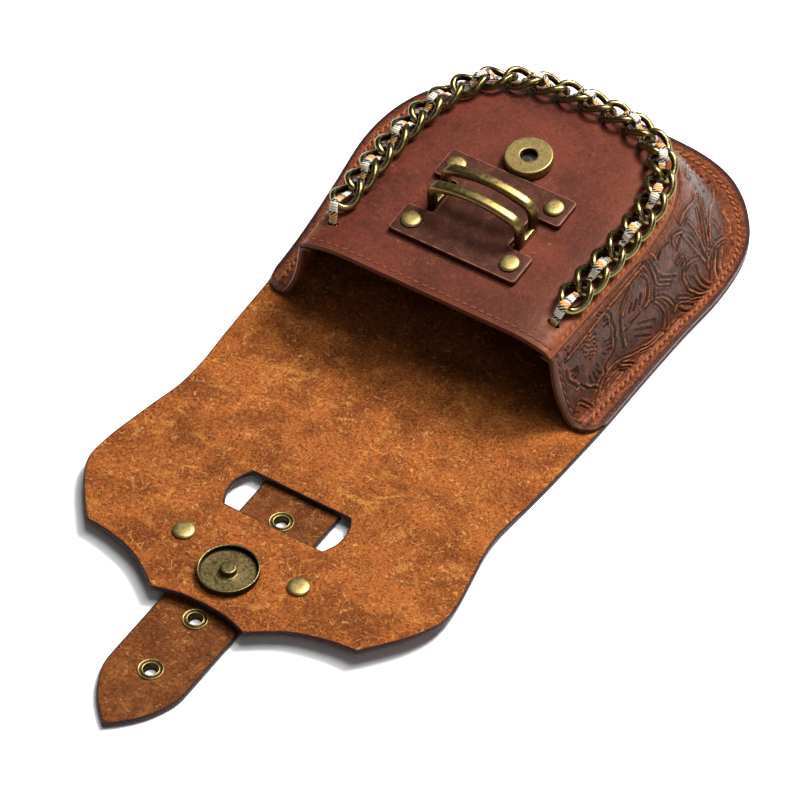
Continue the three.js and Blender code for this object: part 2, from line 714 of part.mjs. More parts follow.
function archShape() {
  const outer = BRACKET_WIDTH / 2;
  const inner = outer - BRACKET_BAR;
  const under = BRACKET_HEIGHT - BRACKET_BAR;
  const shape = new THREE.Shape();
  const start = BRACKET_SHOULDER * ARCH_CORNER.down;
  const turn = outer * ARCH_CORNER.side;
  shape.moveTo(-outer, 0);
  shape.lineTo(-outer, start);
  shape.quadraticCurveTo(-outer, BRACKET_SHOULDER, -turn, BRACKET_SHOULDER + 0.8);
  shape.quadraticCurveTo(0, 2 * BRACKET_HEIGHT - BRACKET_SHOULDER - 0.8, turn, BRACKET_SHOULDER + 0.8);
  shape.quadraticCurveTo(outer, BRACKET_SHOULDER, outer, start);
  shape.lineTo(outer, 0);
  shape.lineTo(inner, 0);
  shape.lineTo(inner, start - 0.6);
  const innerShoulder = BRACKET_SHOULDER - BRACKET_BAR + 0.4;
  shape.quadraticCurveTo(inner, innerShoulder, turn - 2, innerShoulder + 0.6);
  shape.quadraticCurveTo(0, 2 * under - innerShoulder - 0.6, 2 - turn, innerShoulder + 0.6);
  shape.quadraticCurveTo(-inner, innerShoulder, -inner, start - 0.6);
  shape.lineTo(-inner, 0);
  shape.closePath();
  return shape;
}

function makeBracket(plate) {
  const bevel = BRACKET_BEVEL;
  const arch = new THREE.ExtrudeGeometry(archShape(), {
    depth: BRACKET_BAR_WIDTH - 2 * bevel,
    bevelThickness: bevel,
    bevelSize: bevel,
    bevelOffset: -bevel,
    bevelSegments: 1,
    curveSegments: ARCH_STEPS,
  });
  arch.rotateX(Math.PI / 2).translate(0, BRACKET_BAR_WIDTH / 2 - bevel, 0);
  let solid = null;
  for (const side of [-1, 1]) {
    const bar = solidOf(arch.clone().translate(0, (side * BRACKET_SPACING) / 2, 0));
    solid = solid ? solid.add(bar) : bar;
  }
  for (const side of [-1, 1]) {
    const foot = new THREE.BoxGeometry(BRACKET_BAR - 0.1, BRACKET_SPACING, BRACKET_FOOT_BAR);
    foot.translate((side * (BRACKET_WIDTH - BRACKET_BAR)) / 2, 0, BRACKET_FOOT_BAR / 2);
    solid = solid.add(solidOf(foot));
  }
  const mesh = add("loop_bracket", geometryOf(solid), "antiqueBrass", plate);
  mesh.position.set(0, BRACKET_MIDDLE, GAP);
}

function makeSnap(plate) {
  const [rim, hole, shank] = [SNAP_WIDTH / 2, SNAP_HOLE / 2, RIVET_SHANK / 2];
  const washerTop = -FRONT_THICK - GAP;
  const disc = turned(
    [
      [0, washerTop - RIVET_PLATE],
      [RIVET_WASHER / 2, washerTop - RIVET_PLATE],
      [RIVET_WASHER / 2, washerTop],
      [shank, washerTop],
      [shank, GAP],
      [rim - 0.3, GAP],
      [rim, GAP + 0.5],
      [rim, SNAP_DEPTH - 0.4],
      [rim - 0.5, SNAP_DEPTH],
      [hole + 0.4, SNAP_DEPTH],
      [hole, SNAP_DEPTH - 0.4],
      [hole, GAP + CUP_FLOOR],
      [0, GAP + CUP_FLOOR],
    ],
    DISC_SIDES,
  );
  add("snap_disc", disc, "antiqueBrass", plate).position.set(0, SNAP_FROM_MOUTH, 0);
}

// What is set in the middle of the front panel stands on its sloping plane.
function makeFrontFittings() {
  const plate = new THREE.Group();
  plate.position.z = FRONT_HEIGHT;
  plate.rotation.x = Math.atan(FRONT_SLOPE);
  group.add(plate);
  add("front_patch", prism(patchShape(), GAP, GAP + PATCH_THICK), "darkLeather", plate);
  rivetPlaces().forEach((at, i) => {
    const shape = rivet(PATCH_RIVET_HEAD, 2 * GAP + PATCH_THICK, -FRONT_THICK - GAP);
    add(`patch_rivet_${i + 1}`, shape, "antiqueBrass", plate).position.set(at.x, at.y, 0);
  });
  makeBracket(plate);
  makeSnap(plate);
}

function makeStrap() {
  const half = STRAP_WIDTH / 2;
  const points = STRAP_POINT.map(
    (row) => new THREE.Vector2(row.half * half, -(STRAP_TIP - TIP_LENGTH) - row.along * TIP_LENGTH),
  );
  const right = new THREE.SplineCurve(points).getSpacedPoints(9);
  const left = right
    .slice(0, -1)
    .reverse()
    .map((p) => new THREE.Vector2(-p.x, p.y));
  const end = [
    new THREE.Vector2(-half, -STRAP_END - 3),
    new THREE.Vector2(-half + 3, -STRAP_END),
    new THREE.Vector2(half - 3, -STRAP_END),
    new THREE.Vector2(half, -STRAP_END - 3),
  ];
  const outline = [...right, ...left, ...end];
  const bore = EYELET_BARREL / 2 + HOLE_CLEARANCE;
  const cutters = eyeletPlaces().map((y) => roundHole(0, y, bore, -5, FLAP_OVER_KEEPER + 5));
  const columns = [-half - 2, half + 2];
  const rows = [...STRAP_HEIGHTS.map((row) => row.at), -STRAP_TIP - 2, -STRAP_END + 2];
  rows.sort((a, b) => a - b);
  const underside = (x, y) => readTable(STRAP_HEIGHTS, y);
  add("strap", sheet(outline, columns, rows, underside, STRAP_THICK, cutters), "suede");
}

function makeEyelets() {
  const [bore, barrel, rim] = [EYELET_HOLE / 2, EYELET_BARREL / 2, EYELET_RIM / 2];
  const top = STRAP_THICK + SNUG + EYELET_RIM_THICK;
  const bottom = -EYELET_PROUD;
  eyeletPlaces().forEach((y, i) => {
    const shape = turned([
      [bore, bottom],
      [rim, bottom],
      [rim, bottom + EYELET_RIM_THICK],
      [barrel, bottom + EYELET_RIM_THICK],
      [barrel, top - EYELET_RIM_THICK],
      [rim, top - EYELET_RIM_THICK],
      [rim * 0.93, top],
      [bore, top],
      [bore, bottom],
    ]);
    const eyelet = add(`eyelet_${i + 1}`, shape, "antiqueBrass");
    eyelet.position.set(0, y, readTable(STRAP_HEIGHTS, y));
  });
}

function makeKeeper() {
  const heights = [
    { at: -KEEPER_INSIDE - KEEPER_BEND, value: KEEPER_RISE },
    { at: -KEEPER_INSIDE, value: 0 },
    { at: KEEPER_INSIDE, value: 0 },
    { at: KEEPER_INSIDE + KEEPER_BEND, value: KEEPER_RISE },
  ];
  const [start, end] = [-KEEPER_MIDDLE - KEEPER_LENGTH / 2, -KEEPER_MIDDLE + KEEPER_LENGTH / 2];
  const outline = [
    new THREE.Vector2(-KEEPER_HALF, start),
    new THREE.Vector2(KEEPER_HALF, start),
    new THREE.Vector2(KEEPER_HALF, end),
    new THREE.Vector2(-KEEPER_HALF, end),
  ];
  const shank = RIVET_SHANK / 2 + HOLE_CLEARANCE;
  const cutters = [-1, 1].map((side) =>
    roundHole(side * FLAP_RIVET_X, -KEEPER_MIDDLE, shank, -5, FLAP_OVER_KEEPER + 5),
  );
  const columns = [-KEEPER_HALF - 2, ...heights.map((row) => row.at), KEEPER_HALF + 2];
  const underside = (x) => readTable(heights, x);
  const rows = [start - 1, end + 1];
  add("strap_keeper", sheet(outline, columns, rows, underside, KEEPER_THICK, cutters), "darkLeather");
}

function makeFlapFittings() {
  const flapTop = FLAP_OVER_KEEPER + BACK_THICK;
  const washerTop = KEEPER_RISE - GAP;
  [-1, 1].forEach((side, i) => {
    const shape = rivet(FLAP_RIVET_HEAD, flapTop + GAP, washerTop);
    const mesh = add(`flap_rivet_${i + 1}`, shape, "antiqueBrass");
    mesh.position.set(side * FLAP_RIVET_X, -KEEPER_MIDDLE, 0);
  });
  const post = SNAP_HOLE / 2 - POST_CLEARANCE;
  const [rim, floor] = [CUP_WIDTH / 2, GAP + CUP_FLOOR];
  const cup = turned(
    [
      [0, -BACK_THICK + GAP],
      [RIVET_SHANK / 2, -BACK_THICK + GAP],
      [RIVET_SHANK / 2, GAP],
      [rim - 0.6, GAP],
      [rim, GAP + 0.6],
      [rim, CUP_RIM_HEIGHT - 0.3],
      [rim - 0.4, CUP_RIM_HEIGHT],
      [rim - CUP_WALL + 0.2, CUP_RIM_HEIGHT],
      [rim - CUP_WALL, CUP_RIM_HEIGHT - 0.3],
      [rim - CUP_WALL, floor],
      [post, floor],
      [post, CUP_POST_HEIGHT - 0.5],
      [post - 0.5, CUP_POST_HEIGHT],
      [0, CUP_POST_HEIGHT + 0.1],
    ],
    DISC_SIDES,
  );
  add("snap_cup", cup, "antiqueBrass").position.set(0, -CUP_FROM_MOUTH, flapTop);
}

// A twisted oval link, whose two ends roll opposite ways so that it lies flat in its chain.
function linkRings(frame) {
  const halfLong = (pitch + LINK_WIRE + LINK_PLAY) / 2;
  const halfWide = (LINK_WIDTH - LINK_WIRE) / 2;
  const centre = (turn) => {
    const forward = halfLong * Math.cos(turn);
    const across = halfWide * Math.sin(turn);
    const roll = (LINK_TWIST * forward) / halfLong;
    return { forward, sideways: across * Math.cos(roll), lift: across * Math.sin(roll), roll };
  };
  const place = (turn) => {
    const at = centre(turn);
    return chainPoint(frame, at.forward, at.sideways, at.lift);
  };
  return Array.from({ length: LINK_STEPS }, (_, i) => {
    const turn = ((i + 0.5) * Math.PI * 2) / LINK_STEPS;
    const { roll } = centre(turn);
    const middle = place(turn);
    const along = place(turn + 0.02).sub(place(turn - 0.02)).normalize();
    const off = frame.up.clone().multiplyScalar(Math.cos(roll));
    off.addScaledVector(frame.side, -Math.sin(roll));
    off.addScaledVector(along, -off.dot(along)).normalize();
    const outward = along.clone().cross(off);
    return Array.from({ length: WIRE_SIDES }, (_side, k) => {
      const angle = ((k + 0.5) * Math.PI * 2) / WIRE_SIDES;
      return middle
        .clone()
        .addScaledVector(outward, (Math.cos(angle) * LINK_WIRE) / 2)
        .addScaledVector(off, (Math.sin(angle) * LINK_WIRE) / 2);
    });
  });
}

function makeChain() {
  for (let i = 0; i < linkCount; i += 1) {
    const name = `chain_link_${String(i + 1).padStart(2, "0")}`;
    add(name, loft(linkRings(chainFrame(i * pitch)), true), "antiqueBrass");
  }
}

// The ribbon's run beside the chain: distance from the first link, height above the chain's middle and
// width. It goes over every second crossing of two links and, bunched up, under the ones between.
function ribbonRun() {
  const run = [];
  for (let k = 0; k <= linkCount; k += 1) {
    const crossing = (k - 0.5) * pitch;
    const over = k % 2 === 0;
    const level = over ? RIBBON_OVER : -RIBBON_UNDER;
    const width = over ? RIBBON_WIDTH : RIBBON_FOLDED;
    for (const [share, height] of [
      [-0.34, 0.72],
      [-0.24, 1],
      [0.24, 1],
      [0.34, 0.72],
    ]) {
      run.push({ distance: crossing + share * pitch, lift: level * height, width });
    }
  }
  const surface = -CHAIN_LIFT;
  const tail = [
    { distance: RIBBON_HOLE_REACH, lift: surface - FRONT_THICK - RIBBON_TAIL, width: RIBBON_WIDTH * 0.8 },
    { distance: RIBBON_HOLE_REACH, lift: surface - FRONT_THICK, width: RIBBON_WIDTH * 0.9 },
    { distance: RIBBON_HOLE_REACH - 0.1, lift: surface + 0.8, width: RIBBON_WIDTH },
    { distance: RIBBON_HOLE_REACH - 1, lift: surface + 3, width: RIBBON_WIDTH },
    { distance: RIBBON_HOLE_REACH - 2.4, lift: RIBBON_OVER - 1, width: RIBBON_WIDTH },
    { distance: RIBBON_HOLE_REACH - 3.6, lift: RIBBON_OVER, width: RIBBON_WIDTH },
  ];
  const end = (linkCount - 1) * pitch;
  const first = tail.map((row) => ({ ...row, distance: -row.distance }));
  const last = [...tail].reverse().map((row) => ({ ...row, distance: end + row.distance }));
  return [...first, ...run.slice(2, -2), ...last];
}

function makeRibbon() {
  const run = ribbonRun();
  const rings = run.map((row, i) => {
    const before = run[Math.max(0, i - 1)];
    const after = run[Math.min(run.length - 1, i + 1)];
    const [ahead, climb] = [after.distance - before.distance, after.lift - before.lift];
    const length = Math.hypot(ahead, climb);
    const [back, rise] = [(-climb / length) * RIBBON_THICK, (ahead / length) * RIBBON_THICK];
    const frame = chainFrame(row.distance);
    return [
      [-0.5, -0.5],
      [0.5, -0.5],
      [0.5, 0.5],
      [-0.5, 0.5],
    ].map(([across, through]) =>
      chainPoint(frame, back * through, across * row.width, row.lift + rise * through),
    );
  });
  add("ribbon", loft(rings), "ribbon");
}

makeBackPanel();
makeFrontPanel();
makeGusset();
makeFrontFittings();
makeStrap();
makeKeeper();
makeEyelets();
makeFlapFittings();
makeChain();
makeRibbon();

export default group;
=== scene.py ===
"""A leather chain bag that lies on its back with its flap open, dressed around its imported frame.

Sizes are named in millimetres and turned to metres where a mesh is made. +X runs across the bag, +Y to
the closed end of its pouch, -Y along the open flap, and +Z up off the table.
"""

import logging
import math
from collections.abc import Callable, Sequence
from dataclasses import dataclass, field
from enum import Enum

import bpy
import numpy as np
from mathutils import Matrix, Vector
from mathutils.geometry import delaunay_2d_cdt


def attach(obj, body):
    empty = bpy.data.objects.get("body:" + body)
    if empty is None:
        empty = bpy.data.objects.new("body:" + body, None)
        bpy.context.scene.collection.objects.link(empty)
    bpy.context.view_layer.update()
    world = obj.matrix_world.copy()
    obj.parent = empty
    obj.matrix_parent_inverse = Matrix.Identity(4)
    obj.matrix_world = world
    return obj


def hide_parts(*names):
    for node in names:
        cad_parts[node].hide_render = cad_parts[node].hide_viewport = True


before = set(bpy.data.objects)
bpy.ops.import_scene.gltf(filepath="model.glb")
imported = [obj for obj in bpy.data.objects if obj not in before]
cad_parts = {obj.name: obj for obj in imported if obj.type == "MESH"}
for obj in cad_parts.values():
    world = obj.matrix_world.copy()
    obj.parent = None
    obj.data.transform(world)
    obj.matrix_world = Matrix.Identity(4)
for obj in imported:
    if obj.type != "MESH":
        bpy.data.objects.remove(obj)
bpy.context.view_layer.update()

LOG = logging.getLogger("chain_bag")
MM = 0.001
BODY = "root"
WAX_TINT = "#ECB490"
RIVET_HOLE = 1.7
Array = np.ndarray
Piece = bpy.types.Object
Material = bpy.types.Material
Socket = bpy.types.NodeSocket
Heights = Callable[[Array, Array], Array]


class Slot(Enum):
    """The record's material slots."""

    FRONT = "front_leather"
    SUEDE = "suede"
    TOOLED = "tooled_leather"
    DARK = "dark_leather"
    BRASS = "antique_brass"
    RIBBON = "woven_ribbon"


# Curves and tables


def along(points: Array) -> Array:
    """Distance from the first point to each point of a line.

    Args:
        points: The line's points, one a row.

    Returns:
        One distance for each point.
    """
    return np.concatenate([[0.0], np.cumsum(np.linalg.norm(np.diff(points, axis=0), axis=1))])


def respaced(points: Array, count: int) -> Array:
    """Points at even distances along a line.

    Args:
        points: The line's points, one a row.
        count: How many equal steps it gets.

    Returns:
        count + 1 points.
    """
    length = along(points)
    wanted = np.linspace(0, length[-1], count + 1)
    return np.stack([np.interp(wanted, length, column) for column in points.T], axis=1)


def spline(knots: Sequence[Sequence[float]], count: int) -> Array:
    """Evenly spaced points on a smooth curve through all the knots.

    Args:
        knots: The points that the curve passes through.
        count: How many equal steps it gets.

    Returns:
        count + 1 points.
    """
    rows = np.asarray(knots, float)
    last = len(rows) - 1
    place = np.linspace(0, last, last * 24 + 1)
    start = np.minimum(place.astype(int), last - 1)
    t = (place - start)[:, None]
    before, here, after, beyond = (rows[np.clip(start + k, 0, last)] for k in (-1, 0, 1, 2))
    leave, enter = (after - before) / 2, (beyond - here) / 2
    cubic = 2 * here - 2 * after + leave + enter
    square = 3 * after - 3 * here - 2 * leave - enter
    return respaced(cubic * t**3 + square * t**2 + leave * t + here, count)


def smooth(share: Array) -> Array:
    """A share from 0 to 1 that starts and ends level."""
    t = np.clip(share, 0, 1)
    return t * t * (3 - 2 * t)


def distance_to(line: Array, x: Array, y: Array) -> Array:
    """Distance in plan from each place to a line of points.

    Args:
        line: The line's points, (x, y) a row.
        x: The places' x.
        y: The places' y.

    Returns:
        One distance for each place.
    """
    nearest = np.full(np.shape(x), np.inf)
    for a, b in zip(line[:-1], line[1:]):
        span = b - a
        share = np.clip(((x - a[0]) * span[0] + (y - a[1]) * span[1]) / max(span @ span, 1e-9), 0, 1)
        off = np.hypot(a[0] + span[0] * share - x, a[1] + span[1] * share - y)
        nearest = np.minimum(nearest, off)
    return nearest


def read_row(rows: Array, length: Array, place: float) -> Array:
    """The values of a row of points at a distance along it."""
    return np.array([np.interp(place, length, column) for column in rows.T])


def is_inside(loop: Array, x: Array, y: Array) -> Array:
    """Tells which places lie inside a closed loop of points.

    Args:
        loop: The loop's points, (x, y) a row.
        x: The places' x.
        y: The places' y.

    Returns:
        True for each place inside.
    """
    inside = np.zeros(np.shape(x), bool)
    for (ax, ay), (bx, by) in zip(loop, np.roll(loop, -1, axis=0)):
        crosses = (ay > y) != (by > y)
        inside ^= crosses & (x < (bx - ax) * (y - ay) / (by - ay + 1e-12) + ax)
    return inside


# Half outlines from the mouth to an end, as (share of the length, share of half the width).
FRONT_ROWS = (
    (0.0, 1.0), (0.25, 1.02), (0.48, 1.035), (0.6, 1.022), (0.71, 0.985),
    (0.81, 0.908), (0.89, 0.79), (0.948, 0.625), (0.983, 0.42), (0.997, 0.2),
)
BACK_ROWS = (
    (0.0, 1.0), (0.2, 1.022), (0.4, 1.06), (0.56, 1.098), (0.68, 1.09), (0.775, 1.04),
    (0.845, 0.955), (0.91, 0.835), (0.958, 0.69), (0.987, 0.5), (0.998, 0.24),
)
FLAP_SIDE = (
    (0.0, 1.0), (0.18, 0.98), (0.36, 0.952), (0.45, 0.96), (0.566, 1.003), (0.64, 1.03),
    (0.7, 1.038), (0.745, 1.023), (0.8, 0.967), (0.855, 0.882), (0.906, 0.792),
)
FLAP_HOLLOW = (
    (0.906, 0.792), (0.909, 0.695), (0.92, 0.58), (0.938, 0.465), (0.966, 0.367), (1.0, 0.272),
)
FLAP_TONGUE = ((1.0, 0.272), (0.981, 0.14), (0.976, 0.0))
# The strap's point, as (share of its length, share of half the strap's width).
STRAP_POINT = ((0.0, 1.0), (0.25, 0.975), (0.47, 0.83), (0.68, 0.6), (0.87, 0.28), (1.0, 0.0))
# The gusset's wall from its seam to its flange, as (share of its run, share of its height).
WALL_ROWS = (
    (0.0, 1.0), (0.1, 0.965), (0.26, 0.82), (0.47, 0.55), (0.68, 0.28), (0.86, 0.08), (1.0, 0.0),
)
# Turned metal pieces, ring by ring, as (radius, height).
EYELET = (
    (2.1, -0.5), (4.3, -0.5), (4.3, -0.1), (3.0, -0.1), (3.0, 2.1), (4.3, 2.1), (4.3, 2.4), (4.1, 2.58),
    (3.9, 2.5), (3.7, 2.2), (3.2, 2.15), (3.0, 2.5), (2.8, 2.62), (2.6, 2.5), (2.5, 2.2), (2.4, 0.2),
    (2.1, -0.1), (2.1, -0.5),
)
SNAP_DISC = (
    (3.2, -3.3), (3.2, -2.5), (1.5, -2.5), (1.5, 0.3), (8.3, 0.3), (8.65, 0.8), (8.65, 3.7), (8.55, 3.95),
    (8.3, 4.12), (8.0, 4.15), (7.7, 4.15), (3.8, 4.15), (3.4, 4.15), (3.1, 4.05), (3.0, 3.8), (3.0, 3.5),
    (3.0, 1.1), (0.4, 1.1),
)
SNAP_MAGNET = ((2.9, 1.05), (2.9, 1.6), (2.4, 1.75), (0.5, 1.75))
SNAP_CUP = (
    (1.5, -1.7), (1.5, 0.3), (9.9, 0.3), (10.5, 0.8), (10.5, 2.55), (10.35, 2.8), (10.05, 2.88),
    (9.75, 2.75), (9.65, 2.4), (9.6, 0.95), (9.4, 0.8), (8.8, 0.8), (3.4, 0.8), (2.9, 0.85), (2.75, 1.1),
    (2.75, 2.75), (2.6, 3.05), (2.3, 3.15), (2.0, 3.18), (0.4, 3.2),
)
# A rivet's head, as (share of its radius, height over its underside).
RIVET_HEAD = (
    (1.0, 0.0), (1.0, 0.35), (0.93, 0.75), (0.8, 0.98), (0.55, 1.14), (0.28, 1.2), (0.06, 1.22),
)
# The ribbon's rise and fall over one crossing, as (share of the pitch, share of its height).
CROSSING = (
    (-0.4, 0.1), (-0.34, 0.56), (-0.26, 0.87), (-0.14, 1.0), (0.0, 1.03),
    (0.14, 1.0), (0.26, 0.87), (0.34, 0.56), (0.4, 0.1),
)


@dataclass(frozen=True)
class BagShape:
    """The sizes and curves that the bag's pieces are cut to, in millimetres."""

    back_width: float = 134.6
    back_length: float = 142.0
    flap_length: float = 137.8
    back_thick: float = 2.0
    front_width: float = 100.4
    front_length: float = 107.5
    front_thick: float = 2.2
    front_height: float = 37.4
    front_slope: float = 0.09
    mouth_overhang: float = 1.5
    edge_roll: float = 18.0
    edge_drop: float = 3.4
    end_fall: float = 2.0
    end_fall_from: float = 0.72
    back_lean: float = -4.5
    front_lean: float = 2.6
    lean_rate: float = 1.45
    strap_width: float = 30.0
    strap_thick: float = 2.0
    strap_tip: float = 190.0
    strap_end: float = 69.0
    tip_length: float = 28.0
    strap_low: float = 0.5
    strap_high: float = 2.0
    flap_low: float = 3.15
    flap_high: float = 4.65
    slot_from_mouth: float = 85.2
    slot_width: float = 38.8
    slot_length: float = 16.8
    slot_bulge: float = 2.8
    keeper_middle: float = 112.2
    keeper_length: float = 14.0
    lobe_sag: float = 0.8
    lobe_lift: float = 1.0
    flap_lies: float = 30.0
    cup_from_mouth: float = 119.4
    flap_rivet_x: float = 22.7
    rivet_x: float = 19.7
    rivet_y: tuple[float, float] = (21.9, 50.9)
    snap_from_mouth: float = 66.4
    keeper_gap: float = 1.0
    keeper_play: float = 0.6
    strap_climb: tuple[float, float] = (13.4, 8.4)
    strap_end_gap: float = 2.0
    lobe_across: tuple[float, float] = (0.24, 0.26)
    lobe_along: tuple[float, float] = (0.6, 0.3)

    def leaned(self, points: Array, lean: float) -> Array:
        """Sets points sideways more and more toward the closed end, as the soft bag lies.

        Args:
            points: The points, (x, y) a row.
            lean: Sideways set of the closed end.

        Returns:
            The moved points.
        """
        share = np.maximum(points[:, 1], 0) / self.back_length
        return np.stack([points[:, 0] + lean * smooth(share * self.lean_rate), points[:, 1]], axis=1)

    def pouch_edge(self, rows: Sequence, width: float, length: float, start: float, lean: float,
                   count: int) -> Array:
        """A U-shaped line from the right end of the mouth round the closed end to its left end.

        Args:
            rows: The half outline's shares.
            width: Full width at the mouth.
            length: Mouth to the closed end.
            start: Where the mouth end lies along Y.
            lean: Sideways set of the closed end.
            count: How many equal steps the line gets.

        Returns:
            count + 1 points.
        """
        right = [(half * width / 2, start + share * length) for share, half in rows]
        left = [(-x, y) for x, y in reversed(right)]
        return self.leaned(spline([*right, (0.0, start + length), *left], count), lean)

    def front_edge(self, count: int = 120) -> Array:
        """The front panel's sewn edge."""
        return self.pouch_edge(FRONT_ROWS, self.front_width, self.front_length,
                               -self.mouth_overhang, self.front_lean, count)

    def back_edge(self, count: int = 120) -> Array:
        """The back panel's edge round the pouch."""
        return self.pouch_edge(BACK_ROWS, self.back_width, self.back_length, 0.0, self.back_lean, count)

    def flap_edge(self) -> Array:
        """Draws the flap.

        Returns:
            Its edge from the right end of the mouth line round its point to the left end.
        """
        parts = []
        for rows, count in ((FLAP_SIDE, 96), (FLAP_HOLLOW, 36), (FLAP_TONGUE, 16)):
            knots = [(half * self.back_width / 2, -share * self.flap_length) for share, half in rows]
            parts.append(spline(knots, count)[:-1])
        right = np.concatenate([*parts, [[0.0, -FLAP_TONGUE[-1][0] * self.flap_length]]])
        left = right[::-1][1:] * (-1, 1)
        return np.concatenate([right, left])

    def front_top(self, x: Array, y: Array) -> Array:
        """Height of the front panel's outer face: a gentle slope that rolls down along its seam.

        Args:
            x: The places' x.
            y: The places' y.

        Returns:
            One height for each place.
        """
        roll = np.maximum(0, 1 - distance_to(self.front_edge(), x, y) / self.edge_roll)
        start = self.front_length * self.end_fall_from
        fall = np.maximum(0, (y - start) / (self.front_length - start))
        return (self.front_height + self.front_slope * y - self.edge_drop * roll**2
                - self.end_fall * fall**2)

    def flap_underside(self, x: Array, y: Array) -> Array:
        """Height of the back panel's lower face: flat, then lifted by the strap and its keeper.

        Args:
            x: The places' x.
            y: The places' y.

        Returns:
            One height for each place.
        """
        slot_end = self.slot_from_mouth + self.slot_length / 2
        places = (
            -(self.keeper_middle - self.keeper_length / 2 - self.keeper_gap), -slot_end,
            -(self.strap_end - self.strap_end_gap), -(self.strap_end - self.flap_lies),
        )
        height = np.interp(y, places, (self.flap_high, self.flap_low, self.flap_low, 0.0))
        corner = smooth((np.abs(x) / self.back_width - self.lobe_across[0]) / self.lobe_across[1])
        outward = smooth((-y / self.flap_length - self.lobe_along[0]) / self.lobe_along[1])
        rise = np.where(x > 0, self.lobe_lift, -self.lobe_sag)
        return np.maximum(0, height + rise * corner * outward)

    def strap_underside(self, y: Array) -> Array:
        """Height of the strap's lower face, which climbs into the keeper and comes down again.

        Args:
            y: The places' y.

        Returns:
            One height for each place.
        """
        half = self.keeper_length / 2 + self.keeper_play
        places = (-self.keeper_middle - half - self.strap_climb[0], -self.keeper_middle - half,
                  -self.keeper_middle + half, -self.keeper_middle + half + self.strap_climb[1])
        return np.interp(y, places, (self.strap_low, self.strap_high, self.strap_high, self.strap_low))

    def flap_rivet_holes(self) -> list[Array]:
        """The holes of the two rivets that hold the keeper to the flap."""
        return [circle(side * self.flap_rivet_x, -self.keeper_middle, RIVET_HOLE, 20) for side in (-1, 1)]

    def plate(self) -> Matrix:
        """Where the fittings of the front panel stand: its plane at the mouth line, in metres."""
        lift = Matrix.Translation((0, 0, self.front_height * MM))
        return lift @ Matrix.Rotation(math.atan(self.front_slope), 4, "X")


# Mesh helpers


def clear_selection() -> None:
    """Leaves nothing selected, because an operator acts on all that is."""
    if bpy.context.object and bpy.context.object.mode != "OBJECT":
        bpy.ops.object.mode_set(mode="OBJECT")
    bpy.ops.object.select_all(action="DESELECT")


def make_active(piece: Piece) -> None:
    """Selects one piece alone."""
    clear_selection()
    piece.select_set(True)
    bpy.context.view_layer.objects.active = piece


def piece_from(name: str, points: Array, faces: Sequence[Sequence[int]],
               values: dict[str, Array] | None = None) -> Piece:
    """A piece made of points in millimetres and faces.

    Args:
        name: The piece's name.
        points: Its points, one a row.
        faces: Each face's point numbers.
        values: Point values that its material reads, by attribute name.

    Returns:
        The new object, with smooth faces that point out.
    """
    mesh = bpy.data.meshes.new(name)
    mesh.from_pydata((np.asarray(points) * MM).tolist(), [], [list(map(int, f)) for f in faces])
    for key, value in (values or {}).items():
        mesh.attributes.new(key, "FLOAT", "POINT").data.foreach_set("value", value.astype(np.float32))
    mesh.validate()
    piece = bpy.data.objects.new(name, mesh)
    bpy.context.scene.collection.objects.link(piece)
    make_active(piece)
    bpy.ops.object.mode_set(mode="EDIT")
    bpy.ops.mesh.select_all(action="SELECT")
    bpy.ops.mesh.normals_make_consistent(inside=False)
    bpy.ops.object.mode_set(mode="OBJECT")
    bpy.ops.object.shade_smooth()
    return piece


def settle(piece: Piece, place: Matrix | None = None) -> Piece:
    """Applies a piece's modifiers and place, so that its object is at the origin, unturned.

    Args:
        piece: The piece.
        place: Where its mesh is then moved to.

    Returns:
        The same piece.
    """
    make_active(piece)
    for modifier in list(piece.modifiers):
        bpy.ops.object.modifier_apply(modifier=modifier.name)
    piece.data.transform(piece.matrix_world)
    piece.matrix_world = Matrix.Identity(4)
    if place is not None:
        piece.data.transform(place)
    return piece


def copied(piece: Piece, name: str, place: Matrix) -> Piece:
    """Copies a piece with its mesh.

    Args:
        piece: The piece.
        name: The copy's name.
        place: Where the copy's mesh is moved to.

    Returns:
        The copy.
    """
    other = bpy.data.objects.new(name, piece.data.copy())
    other.data.name = name
    other.data.transform(place)
    bpy.context.scene.collection.objects.link(other)
    return other


def finish_piece(piece: Piece, slot: Slot, *nodes: str) -> Piece:
    """Ties a finished piece to the frame.

    Args:
        piece: The piece, in place.
        slot: The material slot that it takes its finish from.
        nodes: The CAD nodes that it stands for.

    Returns:
        slot: The material slot meant for its finish; it is not used.
    """
    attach(piece, BODY)
    if nodes:
        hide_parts(*nodes)
    LOG.info("%s: %d faces, replaces %s", piece.name, len(piece.data.polygons), ", ".join(nodes) or "-")
    return piece


def circle(x: float, y: float, radius: float, count: int = 40) -> Array:
    """A closed ring of points in plan."""
    turn = np.linspace(0, 2 * math.pi, count, endpoint=False)
    return np.stack([x + radius * np.cos(turn), y + radius * np.sin(turn)], axis=1)


def resampled_loop(loop: Array, step: float) -> Array:
    """Cuts a closed loop to short steps and keeps its corners.

    Args:
        loop: The loop's points.
        step: The longest step.

    Returns:
        The points of the new loop.
    """
    points = []
    for a, b in zip(loop, np.roll(loop, -1, axis=0)):
        count = max(1, math.ceil(np.linalg.norm(b - a) / step))
        points.extend(a + (b - a) * k / count for k in range(count))
    return np.array(points)


def inset_loop(loop: Array, distance: float) -> Array:
    """Moves a closed loop to its left, with its corners mitred.

    Args:
        loop: The loop's points.
        distance: How far it moves.

    Returns:
        The points of the new loop.
    """
    ahead = np.roll(loop, -1, axis=0) - loop
    ahead /= np.linalg.norm(ahead, axis=1)[:, None]
    left = np.stack([-ahead[:, 1], ahead[:, 0]], axis=1)
    mean = left + np.roll(left, 1, axis=0)
    mean /= np.maximum(np.linalg.norm(mean, axis=1), 1e-6)[:, None]
    reach = 1 / np.maximum(np.sum(mean * left, axis=1), 0.6)
    return loop + mean * (reach * distance)[:, None]


